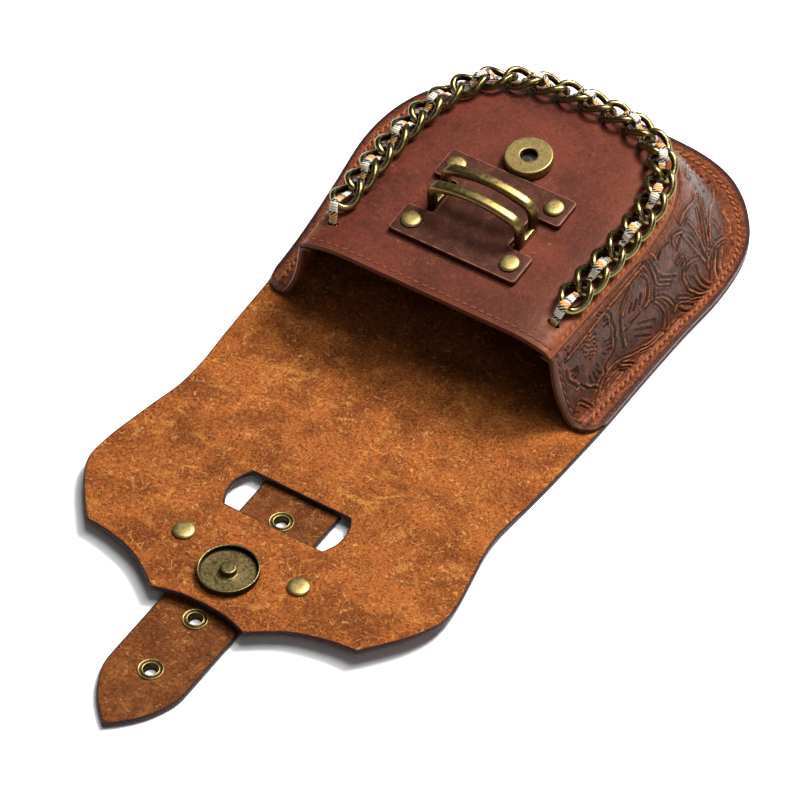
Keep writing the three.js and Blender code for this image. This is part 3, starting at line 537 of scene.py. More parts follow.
def loop_area(loop: Array) -> float:
    """Signed area of a closed loop, positive when it runs anticlockwise."""
    x, y = loop.T
    return float(np.sum(x * np.roll(y, -1) - y * np.roll(x, -1)) / 2)


@dataclass
class CutLeather:
    """A sheet of leather cut to an outline with holes, laid to a shape, its edges slightly rounded.

    Attributes:
        outline: The cut's edge in plan.
        top: Height of its upper face.
        bottom: Height of its lower face.
        holes: The edges of its holes.
        spacing: Distance between the points of its faces.
        edge_step: Distance between the points of its edges.
        rounding: Radius of its edges.
        lines: Lines in plan along which its faces get points too.
        marks: More point values, as functions of the place in plan.
        ring_turns: How many steps each rounded edge is turned in.
    """

    outline: Array
    top: Heights
    bottom: Heights
    holes: list[Array] = field(default_factory=list)
    spacing: float = 3.0
    edge_step: float = 1.3
    rounding: float = 0.5
    lines: list[Array] = field(default_factory=list)
    marks: dict[str, Heights] = field(default_factory=dict)
    ring_turns: int = 3

    def loops(self) -> list[Array]:
        """Cuts the edges to steps.

        Returns:
            The outline and the holes, each with the leather on its left.
        """
        found = []
        for i, edge in enumerate([self.outline, *self.holes]):
            loop = resampled_loop(edge, self.edge_step)
            wanted = 1 if i == 0 else -1
            found.append(loop if loop_area(loop) * wanted > 0 else loop[::-1])
        return found

    def inner_points(self, loops: list[Array]) -> Array:
        """Spreads points over the sheet, clear of its edges.

        Args:
            loops: The sheet's edges.

        Returns:
            The points, in plan.
        """
        low, high = loops[0].min(axis=0), loops[0].max(axis=0)
        grid = []
        for i, y in enumerate(np.arange(low[1], high[1], self.spacing * math.sqrt(0.75))):
            x = np.arange(low[0] + (i % 2) * self.spacing / 2, high[0], self.spacing)
            grid.append(np.column_stack([x, np.full(len(x), y)]))
        points = np.concatenate(grid)
        for line in self.lines:
            points = points[distance_to(line, *points.T) > self.spacing * 0.5]
        points = np.concatenate([points, *self.lines])
        x, y = points.T
        keep = is_inside(loops[0], x, y)
        for loop in loops[1:]:
            keep &= ~is_inside(loop, x, y)
        return points[keep & (self.rim(loops, x, y) > self.rounding + 0.45 * self.spacing)]

    def rim(self, loops: list[Array], x: Array, y: Array) -> Array:
        """Distance of each place from the nearest edge."""
        return np.minimum.reduce([distance_to(np.concatenate([loop, loop[:1]]), x, y) for loop in loops])

    def face_net(self, flat: list[Array], inner: Array) -> tuple[Array, Array, dict]:
        """Joins the points of a face by triangles.

        Args:
            flat: The face's edges, which the net follows.
            inner: The points between them.

        Returns:
            The points, the triangles' point numbers, and the new number of each edge point.
        """
        edges, first = [], 0
        for loop in flat:
            count = len(loop)
            edges.extend((first + k, first + (k + 1) % count) for k in range(count))
            first += count
        found = delaunay_2d_cdt([Vector(p) for p in np.concatenate([*flat, inner])], edges, [], 1, 1e-5)
        plan = np.array([tuple(p) for p in found[0]])
        triangles = np.array(found[2])
        centre = plan[triangles].mean(axis=1)
        for loop in flat[1:]:
            outside = ~is_inside(loop, *centre.T)
            triangles, centre = triangles[outside], centre[outside]
        return plan, triangles, {old: new for new, olds in enumerate(found[3]) for old in olds}

    def edge_rings(self, loop: Array) -> list[tuple[Array, float]]:
        """Rounds one edge, ring by ring from the upper face to the lower one.

        Args:
            loop: The edge, in plan.

        Returns:
            Each ring's points and their side: 1 at the upper face, 0 at the middle, -1 at the lower face.
        """
        rings = []
        for way, turns in ((1, range(1, self.ring_turns + 1)), (-1, range(self.ring_turns, 0, -1))):
            for k in turns:
                turn = k / self.ring_turns * math.pi / 2
                ring = inset_loop(loop, self.rounding * (1 - math.sin(turn)))
                upper, lower = self.top(*ring.T), self.bottom(*ring.T)
                drop = np.minimum(self.rounding, (upper - lower) * 0.45) * (1 - math.cos(turn))
                height = upper - drop if way == 1 else lower + drop
                rings.append((np.column_stack([ring, height]), way * math.cos(turn)))
        return rings

    def build(self, name: str) -> Piece:
        """Makes the sheet.

        Args:
            name: The piece's name.

        Returns:
            The piece, with the point values side (1 top, 0 edge, -1 bottom) and rim (distance from the
            nearest edge in millimetres).
        """
        loops = self.loops()
        plan, triangles, place = self.face_net([inset_loop(loop, self.rounding) for loop in loops],
                                               self.inner_points(loops))
        x, y = plan.T
        points = [np.column_stack([plan, self.top(x, y)]), np.column_stack([plan, self.bottom(x, y)])]
        side = [np.ones(len(plan)), -np.ones(len(plan))]
        rim = [self.rim(loops, x, y)] * 2
        faces = [*triangles.tolist(), *(triangles[:, ::-1] + len(plan)).tolist()]
        total, first = 2 * len(plan), 0
        for loop in loops:
            count = len(loop)
            numbers = np.array([place[first + k] for k in range(count)])
            rings = [numbers]
            first += count
            for ring, turned_to in self.edge_rings(loop):
                points.append(ring)
                side.append(np.full(count, turned_to))
                rim.append(np.zeros(count))
                rings.append(np.arange(total, total + count))
                total += count
            rings.append(numbers + len(plan))
            for upper, lower in zip(rings[:-1], rings[1:]):
                for k in range(count):
                    n = (k + 1) % count
                    faces.append((upper[k], lower[k], lower[n], upper[n]))
        points = np.concatenate(points)
        values = {"side": np.concatenate(side), "rim": np.concatenate(rim)}
        for key, mark in self.marks.items():
            values[key] = mark(points[:, 0], points[:, 1])
        return piece_from(name, points, faces, values)


def raised(low: Heights, by: float) -> Heights:
    """Heights that lie over others by so much."""
    return lambda x, y: low(x, y) + by


def turned(name: str, profile: Sequence[tuple[float, float]], sides: int = 48, bevel: float = 0.12,
           bored: bool = False) -> Piece:
    """A turned metal piece, drawn out ring by ring as on a lathe, round the Z axis.

    Args:
        name: The piece's name.
        profile: (radius, height) of each ring in millimetres.
        sides: How many sides it has round its axis.
        bevel: Width of the bevel on its sharp edges.
        bored: Whether the last ring meets the first one, round an open bore.

    Returns:
        The piece, in its own axes.
    """
    radius, height = profile[0]
    clear_selection()
    bpy.ops.mesh.primitive_circle_add(vertices=sides, radius=radius * MM, location=(0, 0, height * MM),
                                      fill_type="NOTHING" if bored else "NGON")
    piece = bpy.context.object
    piece.name = piece.data.name = name
    bpy.ops.object.transform_apply(location=True, rotation=False, scale=False)
    bpy.ops.object.mode_set(mode="EDIT")
    bpy.ops.mesh.select_all(action="SELECT")
    for wide, high in profile[1:]:
        bpy.ops.mesh.extrude_region_move(TRANSFORM_OT_translate={"value": (0, 0, (high - height) * MM)})
        bpy.ops.transform.resize(value=(wide / radius, wide / radius, 1))
        radius, height = wide, high
    bpy.ops.mesh.select_all(action="SELECT")
    if bored:
        bpy.ops.mesh.remove_doubles(threshold=1e-6)
    bpy.ops.mesh.normals_make_consistent(inside=False)
    bpy.ops.object.mode_set(mode="OBJECT")
    round_edges(piece, bevel)
    return piece


def round_edges(piece: Piece, width: float, sharper_than: float = 32, segments: int = 2) -> None:
    """Bevels a piece's sharp edges and shades the rest smooth.

    Args:
        piece: The piece.
        width: Width of the bevel in millimetres.
        sharper_than: Least angle of the edges that are bevelled, in degrees.
        segments: How many steps the bevel has.
    """
    make_active(piece)
    modifier = piece.modifiers.new("edges", "BEVEL")
    modifier.width = width * MM
    modifier.segments = segments
    modifier.limit_method = "ANGLE"
    modifier.angle_limit = math.radians(sharper_than)
    bpy.ops.object.modifier_apply(modifier=modifier.name)
    bpy.ops.object.shade_smooth_by_angle(angle=math.radians(45))


# Finishes


def linear(colour: str) -> tuple[float, float, float, float]:
    """A colour written as sRGB hexadecimal digits, turned to linear values."""
    parts = [int(colour[k:k + 2], 16) / 255 for k in (1, 3, 5)]
    red, green, blue = (c / 12.92 if c <= 0.04045 else ((c + 0.055) / 1.055) ** 2.4 for c in parts)
    return red, green, blue, 1.0


@dataclass(frozen=True)
class NodeKind:
    """How a kind of shader node is added.

    Attributes:
        type: Blender's name of it.
        inputs: Its inputs, in the order in which their values are given.
        usual: The values of those inputs where none is given.
        output: The output that is read.
        settings: Its own properties.
    """

    type: str
    inputs: tuple[str | int, ...] = ()
    usual: tuple[float, ...] = ()
    output: str | int = 0
    settings: dict[str, str] = field(default_factory=dict)


NODES = {
    "attribute": NodeKind("ShaderNodeAttribute", output="Fac"),
    "noise": NodeKind("ShaderNodeTexNoise", ("Scale", "Detail", "Roughness", "Distortion"),
                      (1.0, 3.0, 0.55, 0.0), "Fac"),
    "cells": NodeKind("ShaderNodeTexVoronoi", ("Scale",), output="Distance"),
    "range": NodeKind("ShaderNodeMapRange", ("Value", "From Min", "From Max", "To Min", "To Max"),
                      (0.0, 0.0, 1.0, 0.0, 1.0), settings={"interpolation_type": "SMOOTHSTEP"}),
    "mix": NodeKind("ShaderNodeMix", (0, 6, 7), output=2, settings={"data_type": "RGBA"}),
    "bump": NodeKind("ShaderNodeBump", ("Height", "Distance"), output="Normal"),
    **{sum_name: NodeKind("ShaderNodeMath", (0, 1), (0.0, 0.0), settings={"operation": sum_name.upper()})
       for sum_name in ("add", "subtract", "multiply", "divide", "absolute", "maximum", "fract", "pingpong",
                        "greater_than")},
}
Value = Socket | float | str


class Shader:
    """A material whose nodes are added one after another, in object coordinates.

    Attributes:
        material: The material.
        nodes: Its nodes.
        links: Its links.
        place: The socket of the object coordinates.
    """

    def __init__(self, name: str) -> None:
        """Starts an empty material.

        Args:
            name: What the material is.
        """
        self.material = bpy.data.materials.new(name)
        self.material.use_nodes = True
        self.nodes = self.material.node_tree.nodes
        self.links = self.material.node_tree.links
        self.nodes.clear()
        self.place = self.nodes.new("ShaderNodeTexCoord").outputs["Object"]

    def fill(self, socket: Socket, value: Value) -> None:
        """Links an input to a socket, or sets it to a number or to a colour in hexadecimal digits.

        Args:
            socket: The input.
            value: What it gets.
        """
        if isinstance(value, Socket):
            self.links.new(value, socket)
        else:
            socket.default_value = linear(value) if isinstance(value, str) else value

    def add(self, kind: str, *values: Value, **settings: str) -> Socket:
        """Adds a node with its settings and links.

        Args:
            kind: Its row in NODES.
            values: Its inputs in the row's order. A Scale is given as the size of the pattern's largest
                spots and a Distance as a depth, both in millimetres.
            settings: More of its own properties.

        Returns:
            The output that is read.
        """
        row = NODES[kind]
        node = self.nodes.new(row.type)
        for key, setting in {**row.settings, **settings}.items():
            setattr(node, key, setting)
        for key, value in zip(row.inputs, (*values, *row.usual[len(values):])):
            if key == "Scale":
                value = 1000 / value
                self.links.new(self.place, node.inputs["Vector"])
            if key == "Distance":
                value = value * MM
            self.fill(node.inputs[key], value)
        return node.outputs[row.output]

    def curls(self, size: float, lines: float, dash: float, least: float) -> Socket:
        """Draws short curved fibres: level lines of a noise, broken by a finer one.

        Args:
            size: How wide the curls are, in millimetres.
            lines: How many level lines there are from low to high.
            dash: Length of the fibres.
            least: Level of the finer noise over which they show.

        Returns:
            1 on a fibre and 0 beside it.
        """
        off = self.add("pingpong", self.add("multiply", self.add("noise", size, 1.5, 0.5, 0.8), lines), 1.0)
        shown = self.add("range", self.add("noise", dash, 2, 0.6), least, least + 0.06)
        return self.add("multiply", self.add("range", off, 0.04, 0.28, 1, 0), shown)

    def scratches(self, size: float, detail: float, rough: float, warp: float, wide: float,
                  where: Socket) -> Socket:
        """Draws thin scratches along the middle level of a noise.

        Args:
            size: Size of the noise's largest spots, in millimetres.
            detail: The noise's detail.
            rough: The noise's roughness.
            warp: The noise's distortion.
            wide: Half the scratches' width, as a step of the noise.
            where: Share of them that shows.

        Returns:
            1 on a scratch and 0 beside it.
        """
        level = self.add("subtract", self.add("noise", size, detail, rough, warp), 0.5)
        off = self.add("absolute", level)
        return self.add("multiply", self.add("range", off, 0.0, wide, 1, 0), where)

    def surface(self, **inputs: Value) -> Material:
        """Ends the material in a surface.

        Args:
            inputs: The surface's inputs by name, with _ for a space.

        Returns:
            The material.
        """
        shader = self.nodes.new("ShaderNodeBsdfPrincipled")
        for key, value in inputs.items():
            self.fill(shader.inputs[key.replace("_", " ")], value)
        output = self.nodes.new("ShaderNodeOutputMaterial")
        self.links.new(shader.outputs[0], output.inputs["Surface"])
        return self.material


@dataclass(frozen=True)
class Suede:
    """The napped flesh side of split leather, with smooth grain below and painted edges.

    The nap is matt and cloudy, with pale loose fibres lying over it and dark open pores. The fibres are
    drawn about twice as coarse as real ones, so that they show.
    """

    name: str
    base: str
    dark: str
    fibre: str
    hairs: str
    grit: str = "#4C240F"
    pore: str = "#2C150A"
    grain: tuple[str, str] = ("#4E2218", "#653022")
    paint: tuple[str, str] = ("#140B0D", "#3A2426")

    def material(self) -> Material:
        """Makes the material.

        Returns:
            The material.
        """
        s = Shader(self.name)
        add = s.add
        tone = add("mix", add("range", add("noise", 16, 5, 0.65, 0.5), 0.34, 0.62), self.dark, self.base)
        patches = add("range", add("noise", 12, 5, 0.7, 1.2), 0.53, 0.68, 0, 0.6)
        tone = add("mix", patches, tone, self.fibre)
        grit = add("noise", 1.0, 4, 0.8, 0.4)
        tone = add("mix", add("range", grit, 0.38, 0.52, 0.8, 0), tone, self.grit)
        tone = add("mix", add("range", grit, 0.54, 0.66, 0, 0.45), tone, self.fibre)
        hair = add("maximum", s.curls(9, 20, 2.4, 0.5), s.curls(6, 14, 1.7, 0.52))
        tufts = add("range", add("noise", 7, 3), 0.36, 0.62, 0.2, 0.62)
        tone = add("mix", add("multiply", hair, tufts), tone, self.hairs)
        tone = add("mix", add("multiply", s.curls(7, 16, 1.5, 0.53), 0.55), tone, self.grit)
        wear_and_edge_highlight = add("range", add("noise", 11, 4, 0.6), 0.46, 0.6, 0.15, 1)
        pits = add("multiply", add("range", add("cells", 1.5), 0.12, 0.22, 1, 0), wear_and_edge_highlight)
        tone = add("mix", add("multiply", pits, 0.85), tone, self.pore)
        grain = add("mix", add("range", add("noise", 6, 4), 0.3, 0.7), *self.grain)
        side = add("attribute", attribute_name="side")
        tone = add("mix", add("range", side, -0.6, 0.2), grain, tone)
        rim = add("attribute", attribute_name="rim")
        edge = add("add", rim, add("multiply", add("noise", 1.5, 4), 0.8))
        edge = add("range", edge, 0.75, 1.2)
        tone = add("mix", edge, add("mix", add("noise", 1.6, 3), *self.paint), tone)
        height = add("subtract", add("add", grit, add("multiply", hair, 0.4)), pits)
        rough = add("range", edge, 0.0, 1.0, 0.45, 0.95)
        return s.surface(Base_Color=tone, Roughness=rough, Specular_IOR_Level=0.25,
                         Specular_Tint=WAX_TINT, Normal=add("bump", height, 0.3))


@dataclass(frozen=True)
class WaxedLeather:
    """Smooth pull-up leather, waxed.

    The wax gives it a satin skin. It has an orange rub along its sewn edge, its cut edge is burnished, and a
    painted highlight runs along its top edge's rounding.
    """

    name: str
    dark: str = "#421D18"
    base: str = "#5E2A20"
    # Spots, wear and nicks, then the painted highlight for the top edge's rounding.
    wear_and_highlight: tuple[str, str, str, str] = ("#6E3826", "#84503C", "#C07048", "#845038")
    seam: tuple[str, str] = ("#5E2C1A", "#84462A")
    dent: str = "#2E1410"
    nap: tuple[str, str] = ("#4A2416", "#8A4C2A")
    edge: tuple[str, str] = ("#3A1C16", "#5E3226")

    def material(self) -> Material:
        """Makes the material.

        Returns:
            The material.
        """
        s = Shader(self.name)
        add = s.add
        spots, wear, nick, corner = self.wear_and_highlight
        tone = add("mix", add("range", add("noise", 24, 4, 0.55, 0.5), 0.3, 0.7), self.dark, self.base)
        tone = add("mix", add("range", add("noise", 2.2, 6, 0.75), 0.45, 0.75, 0, 0.6), tone, spots)
        fine = add("noise", 0.5, 5, 0.8)
        tone = add("mix", add("range", fine, 0.56, 0.7, 0, 0.45), tone, wear)
        near = add("multiply", add("noise", 4, 5, 0.7), 7.0)
        near = add("range", add("add", add("attribute", attribute_name="seam"), near), 4.6, 9.5, 0.85, 0)
        tone = add("mix", near, tone, add("mix", add("noise", 1.4, 5, 0.8), *self.seam))
        dents = add("noise", 1.3, 3, 0.6)
        tone = add("mix", add("range", dents, 0.32, 0.48, 0.45, 0), tone, self.dent)
        nicks = s.scratches(22, 2, 0.5, 1.5, 0.0022, add("range", add("noise", 12, 2), 0.58, 0.64))
        tone = add("mix", add("multiply", nicks, 0.7), tone, nick)
        nap = add("mix", add("noise", 1.0, 6, 0.8), *self.nap)
        side = add("attribute", attribute_name="side")
        edge = add("mix", add("noise", 1.2, 4), *self.edge)
        tone = add("mix", add("range", side, 0.45, 0.8), edge, tone)
        tone = add("mix", add("range", side, -0.6, -0.1), nap, tone)
        # Painted highlight: a lighter line on the rounding between the top face and the cut edge.
        edge_highlight = add("multiply", add("range", side, 0.55, 0.9), add("range", side, 0.9, 1.0, 1, 0))
        tone = add("mix", add("multiply", edge_highlight, 0.8), tone, corner)
        height = add("add", fine, add("multiply", dents, 1.4))
        rough = add("range", add("noise", 3, 5), 0.3, 0.7, 0.36, 0.54)
        return s.surface(Base_Color=tone, Roughness=rough, Specular_IOR_Level=0.3,
                         Specular_Tint=WAX_TINT, Normal=add("bump", height, 0.08))


@dataclass(frozen=True)
class TooledLeather:
    """Vegetable-tanned leather, carved and dyed.

    The dye lies dark in its grooves and is burnished off its ridges, and the sewn border is left raw.
    """

    name: str
    ground: tuple[str, str] = ("#210F0A", "#4A2A1E")
    rust: tuple[str, str] = ("#3E1C10", "#8A4624")
    crease: str = "#96583A"
    crest: tuple[str, str] = ("#7E4A34", "#B4744A")
    groove: tuple[str, str] = ("#120806", "#2A1008")
    border: tuple[str, str] = ("#34180F", "#84452A")
    rim: str = "#2E1A1A"
    burnished: tuple[str, str] = ("#2E1A14", "#50322A")
    nap: tuple[str, str] = ("#4A2416", "#8A4C2A")
    wax: str = "#E09C78"

    def material(self) -> Material:
        """Makes the material.

        Returns:
            The material.
        """
        s = Shader(self.name)
        add = s.add
        relief = add("attribute", attribute_name="relief")
        v = add("attribute", attribute_name="v")
        ground = add("mix", add("range", add("noise", 7, 6, 0.7, 0.4), 0.36, 0.64), *self.ground)
        rust = add("mix", add("range", add("noise", 1.6, 6, 0.8), 0.38, 0.7), *self.rust)
        clouds = add("add", v, add("multiply", add("noise", 5, 5, 0.7), 14.0))
        near = add("maximum", add("range", clouds, 9, 15, 1, 0), add("range", clouds, 40, 48))
        near = add("maximum", near, add("range", add("noise", 9, 4, 0.7, 1.0), 0.52, 0.62, 0, 0.7))
        tone = add("mix", add("multiply", near, 0.8), ground, rust)
        crease = s.scratches(4.2, 3, 0.6, 1.6, 0.012, add("range", add("noise", 8, 3), 0.44, 0.58))
        tone = add("mix", add("multiply", crease, 0.65), tone, self.crease)
        patches = add("range", add("noise", 3, 4, 0.7), 0.38, 0.6, 0.25, 1)
        crest = add("multiply", add("range", relief, 0.3, 0.95, 0, 0.85), patches)
        tone = add("mix", crest, tone, add("mix", add("noise", 6, 3), *self.crest))
        tone = add("mix", add("range", relief, -0.85, -0.12, 0.92, 0), tone, self.groove[0])
        border = add("mix", add("range", add("noise", 1.1, 6, 0.8), 0.38, 0.66), *self.border)
        border = add("mix", add("range", relief, -0.85, -0.12, 0.8, 0), border, self.groove[1])
        outside = add("range", add("add", v, add("noise", 2.5, 4)), 43.0, 44.2)
        tone = add("mix", outside, tone, border)
        rim = add("add", v, add("multiply", add("noise", 2, 4), 1.6))
        tone = add("mix", add("range", rim, 48.4, 49.6), tone, self.rim)
        burnished = add("mix", add("noise", 2.5, 5, 0.7), *self.burnished)
        end = add("attribute", attribute_name="end")
        tone = add("mix", add("range", end, 2.1, 2.8), burnished, tone)
        nap = add("mix", add("noise", 1.0, 6, 0.8), *self.nap)
        side = add("attribute", attribute_name="side")
        tone = add("mix", add("range", side, -0.6, 0.2), nap, tone)
        rough = add("range", add("noise", 1.5, 5), 0.3, 0.7, 0.28, 0.48)
        height = add("add", add("noise", 0.6, 5, 0.7), add("multiply", add("cells", 0.9), 0.8))
        height = add("add", height, crease)
        return s.surface(Base_Color=tone, Roughness=rough, Specular_IOR_Level=0.36,
                         Specular_Tint=self.wax, Normal=add("bump", height, 0.12))


@dataclass(frozen=True)
class DarkLeather:
    """Dyed leather with a satin finish: dark, with small scratches and a pale, uneven painted highlight along
    its rounded top edge.
    """

    name: str
    dyed: tuple[str, str] = ("#210D0A", "#42201A")
    wear: tuple[str, str] = ("#5E3227", "#6E4234")
    scuff: str = "#A06A58"
    # A painted highlight for the rounded top edge.
    corner: str = "#94604C"
    edge: str = "#38181A"

    def material(self) -> Material:
        """Makes the material.

        Returns:
            The material.
        """
        s = Shader(self.name)
        add = s.add
        tone = add("mix", add("range", add("noise", 6, 5, 0.7), 0.3, 0.7), *self.dyed)
        tone = add("mix", add("range", add("noise", 2.0, 5, 0.75), 0.5, 0.68, 0, 0.4), tone, self.wear[0])
        tone = add("mix", add("range", add("noise", 0.6, 5, 0.8), 0.53, 0.68, 0, 0.45), tone, self.wear[1])
        scuffs = s.scratches(3.2, 2, 0.5, 2.2, 0.008, add("range", add("noise", 6, 2), 0.52, 0.6))
        tone = add("mix", add("multiply", scuffs, 0.6), tone, self.scuff)
        side = add("attribute", attribute_name="side")
        # Painted highlight: a pale, uneven line along the rounding of the top edge and the face beside it.
        rim = add("range", add("attribute", attribute_name="rim"), 0.2, 0.55, 1, 0)
        wear_and_edge_highlight = add("multiply", add("range", side, 0.3, 0.75), rim)
        wear_and_edge_highlight = add("multiply", wear_and_edge_highlight, add("range", add("noise", 3, 4), 0.35, 0.65, 0.4, 1))
        tone = add("mix", wear_and_edge_highlight, tone, self.corner)
        tone = add("mix", add("range", side, 0.1, 0.6), self.edge, tone)
        return s.surface(Base_Color=tone, Roughness=0.45, Specular_IOR_Level=0.4, Specular_Tint=WAX_TINT,
                         Normal=add("bump", add("noise", 0.5, 5, 0.7), 0.07))


@dataclass(frozen=True)
class AntiqueBrass:
    """Cast brass, darkened, then bright where touch has polished it, brown in patina spots, and painted with
    shade where a piece marks it.
    """

    name: str
    light: str
    dark: str
    patina: float = 0.4
    grain: float = 0.5
    rough: tuple[float, float] = (0.24, 0.4)
    speckle: float = 0.5
    # The colour of the painted shade.
    painted_shade: str = "#20170C"

    def material(self) -> Material:
        """Makes the material.

        Returns:
            The material.
        """
        s = Shader(self.name)
        add = s.add
        spots = add("noise", 1.6, 7, 0.75, 0.3)
        spots = add("range", spots, 0.62 - self.patina * 0.5, 0.8 - self.patina * 0.3)
        clouds = add("range", add("noise", 7, 3), 0.3, 0.75)
        tone = add("mix", add("multiply", spots, clouds), self.light, self.dark)
        speck = add("noise", self.speckle, 2, 0.7)
        tone = add("mix", add("range", speck, 0.47, 0.58, 0, self.grain), tone, self.dark)
        # Painted shade: the places that a piece marks as inner are darkened toward the shade colour.
        inner = add("range", add("attribute", attribute_name="inner"), 0.2, 0.95, 0, 0.9)
        tone = add("mix", inner, tone, self.painted_shade)
        gloss = add("range", add("noise", 1.4, 5), 0.3, 0.7, *self.rough)
        return s.surface(Base_Color=tone, Metallic=1.0, Roughness=gloss,
                         Normal=add("bump", speck, 0.02 + 0.04 * self.grain))


@dataclass(frozen=True)
class RibbonWeave:
    """Woven ribbon with a soft silky face, in blocks of ivory rib, black hatch and gold."""

    name: str
    block: float = 8.7
    ivory: tuple[str, str] = ("#D6CBB6", "#7C7060")
    black: tuple[str, str] = ("#0C0908", "#C6BAA4")
    gold: tuple[str, str] = ("#B8741C", "#D8B878")
    starts: tuple[float, float, float, float] = (0.34, 0.5, 0.74, 0.84)

    def material(self) -> Material:
        """Makes the material.

        Returns:
            The material.
        """
        s = Shader(self.name)
        add = s.add
        run = add("attribute", attribute_name="run")
        across = add("attribute", attribute_name="across")
        wave = add("multiply", add("noise", 2.2, 2), 2.4)
        block = add("fract", add("divide", add("add", run, wave), self.block))
        ribs = add("range", add("pingpong", add("multiply", run, 2.3), 1.0), 0.55, 0.95)
        slant = add("add", add("multiply", run, 1.7), add("multiply", across, 1.3))
        check = add("pingpong", slant, 1.0)
        ivory = add("mix", ribs, *self.ivory)
        black = add("mix", add("range", check, 0.66, 0.88), *self.black)
        gold = add("mix", add("range", check, 0.62, 0.95), *self.gold)
        tone = ivory
        for start, part in zip(self.starts, (black, gold, ivory, black)):
            tone = add("mix", add("greater_than", block, start), tone, part)
        rib = add("pingpong", add("multiply", run, 3.0), 1.0)
        return s.surface(Base_Color=tone, Roughness=0.6, Normal=add("bump", rib, 0.1))


@dataclass(frozen=True)
class Thread:
    """Waxed polyester sewing thread: a matt twist, a little uneven in its colour."""

    name: str
    light: str = "#8E4A26"
    dark: str = "#461F10"

    def material(self) -> Material:
        """Makes the material.

        Returns:
            The material.
        """
        s = Shader(self.name)
        add = s.add
        tone = add("mix", add("noise", 0.7, 4), self.dark, self.light)
        return s.surface(Base_Color=tone, Roughness=0.7, Specular_IOR_Level=0.2,
                         Normal=add("bump", add("noise", 0.3, 3), 0.1))


@dataclass(frozen=True)
class Plain:
    """A matt surface in one colour: the painted shade of a needle hole, or paper."""

    name: str
    colour: str

    def material(self) -> Material:
        """Makes the material."""
        return Shader(self.name).surface(Base_Color=self.colour, Roughness=0.9)


def give(piece: Piece, material: Material) -> Piece:
    """Gives a piece one material.

    Args:
        piece: The piece.
        material: The material.

    Returns:
        The same piece.
    """
    piece.data.materials.clear()
    piece.data.materials.append(material)
    return piece


def point_values(piece: Piece, name: str, values: Array) -> None:
    """Sets a point value of a piece that its material reads."""
    piece.data.attributes.new(name, "FLOAT", "POINT").data.foreach_set("value", values.astype(np.float32))


def mark_painted_shade(piece: Piece, inside: float, outside: float, below: float) -> None:
    """Marks a ring of a turned piece that its material paints dark as shade.

    Args:
        piece: The piece, in its own axes.
        inside: Least distance of the marked ring from the axis.
        outside: Its most distance from the axis.
        below: Its top.
    """
    places = np.zeros(len(piece.data.vertices) * 3)
    piece.data.vertices.foreach_get("co", places)
    x, y, z = places.reshape(-1, 3).T / MM
    radius = np.hypot(x, y)
    point_values(piece, "inner", (radius > inside) & (radius < outside) & (z < below))


# Sub-assemblies


def tube_faces(count: int, size: int, first: int = 0) -> list[tuple[int, ...]]:
    """Joins rings of points to a tube that is closed at both ends.

    Args:
        count: How many rings there are.
        size: How many points each ring has.
        first: The number of the first point.

    Returns:
        Each face's point numbers.
    """
    faces = []
    for a in range(first, first + (count - 1) * size, size):
        for k in range(size):
            n = (k + 1) % size
            faces.append((a + k, a + n, a + size + n, a + size + k))
    last = first + (count - 1) * size
    return [*faces, tuple(range(first, first + size)), tuple(range(last, last + size))[::-1]]


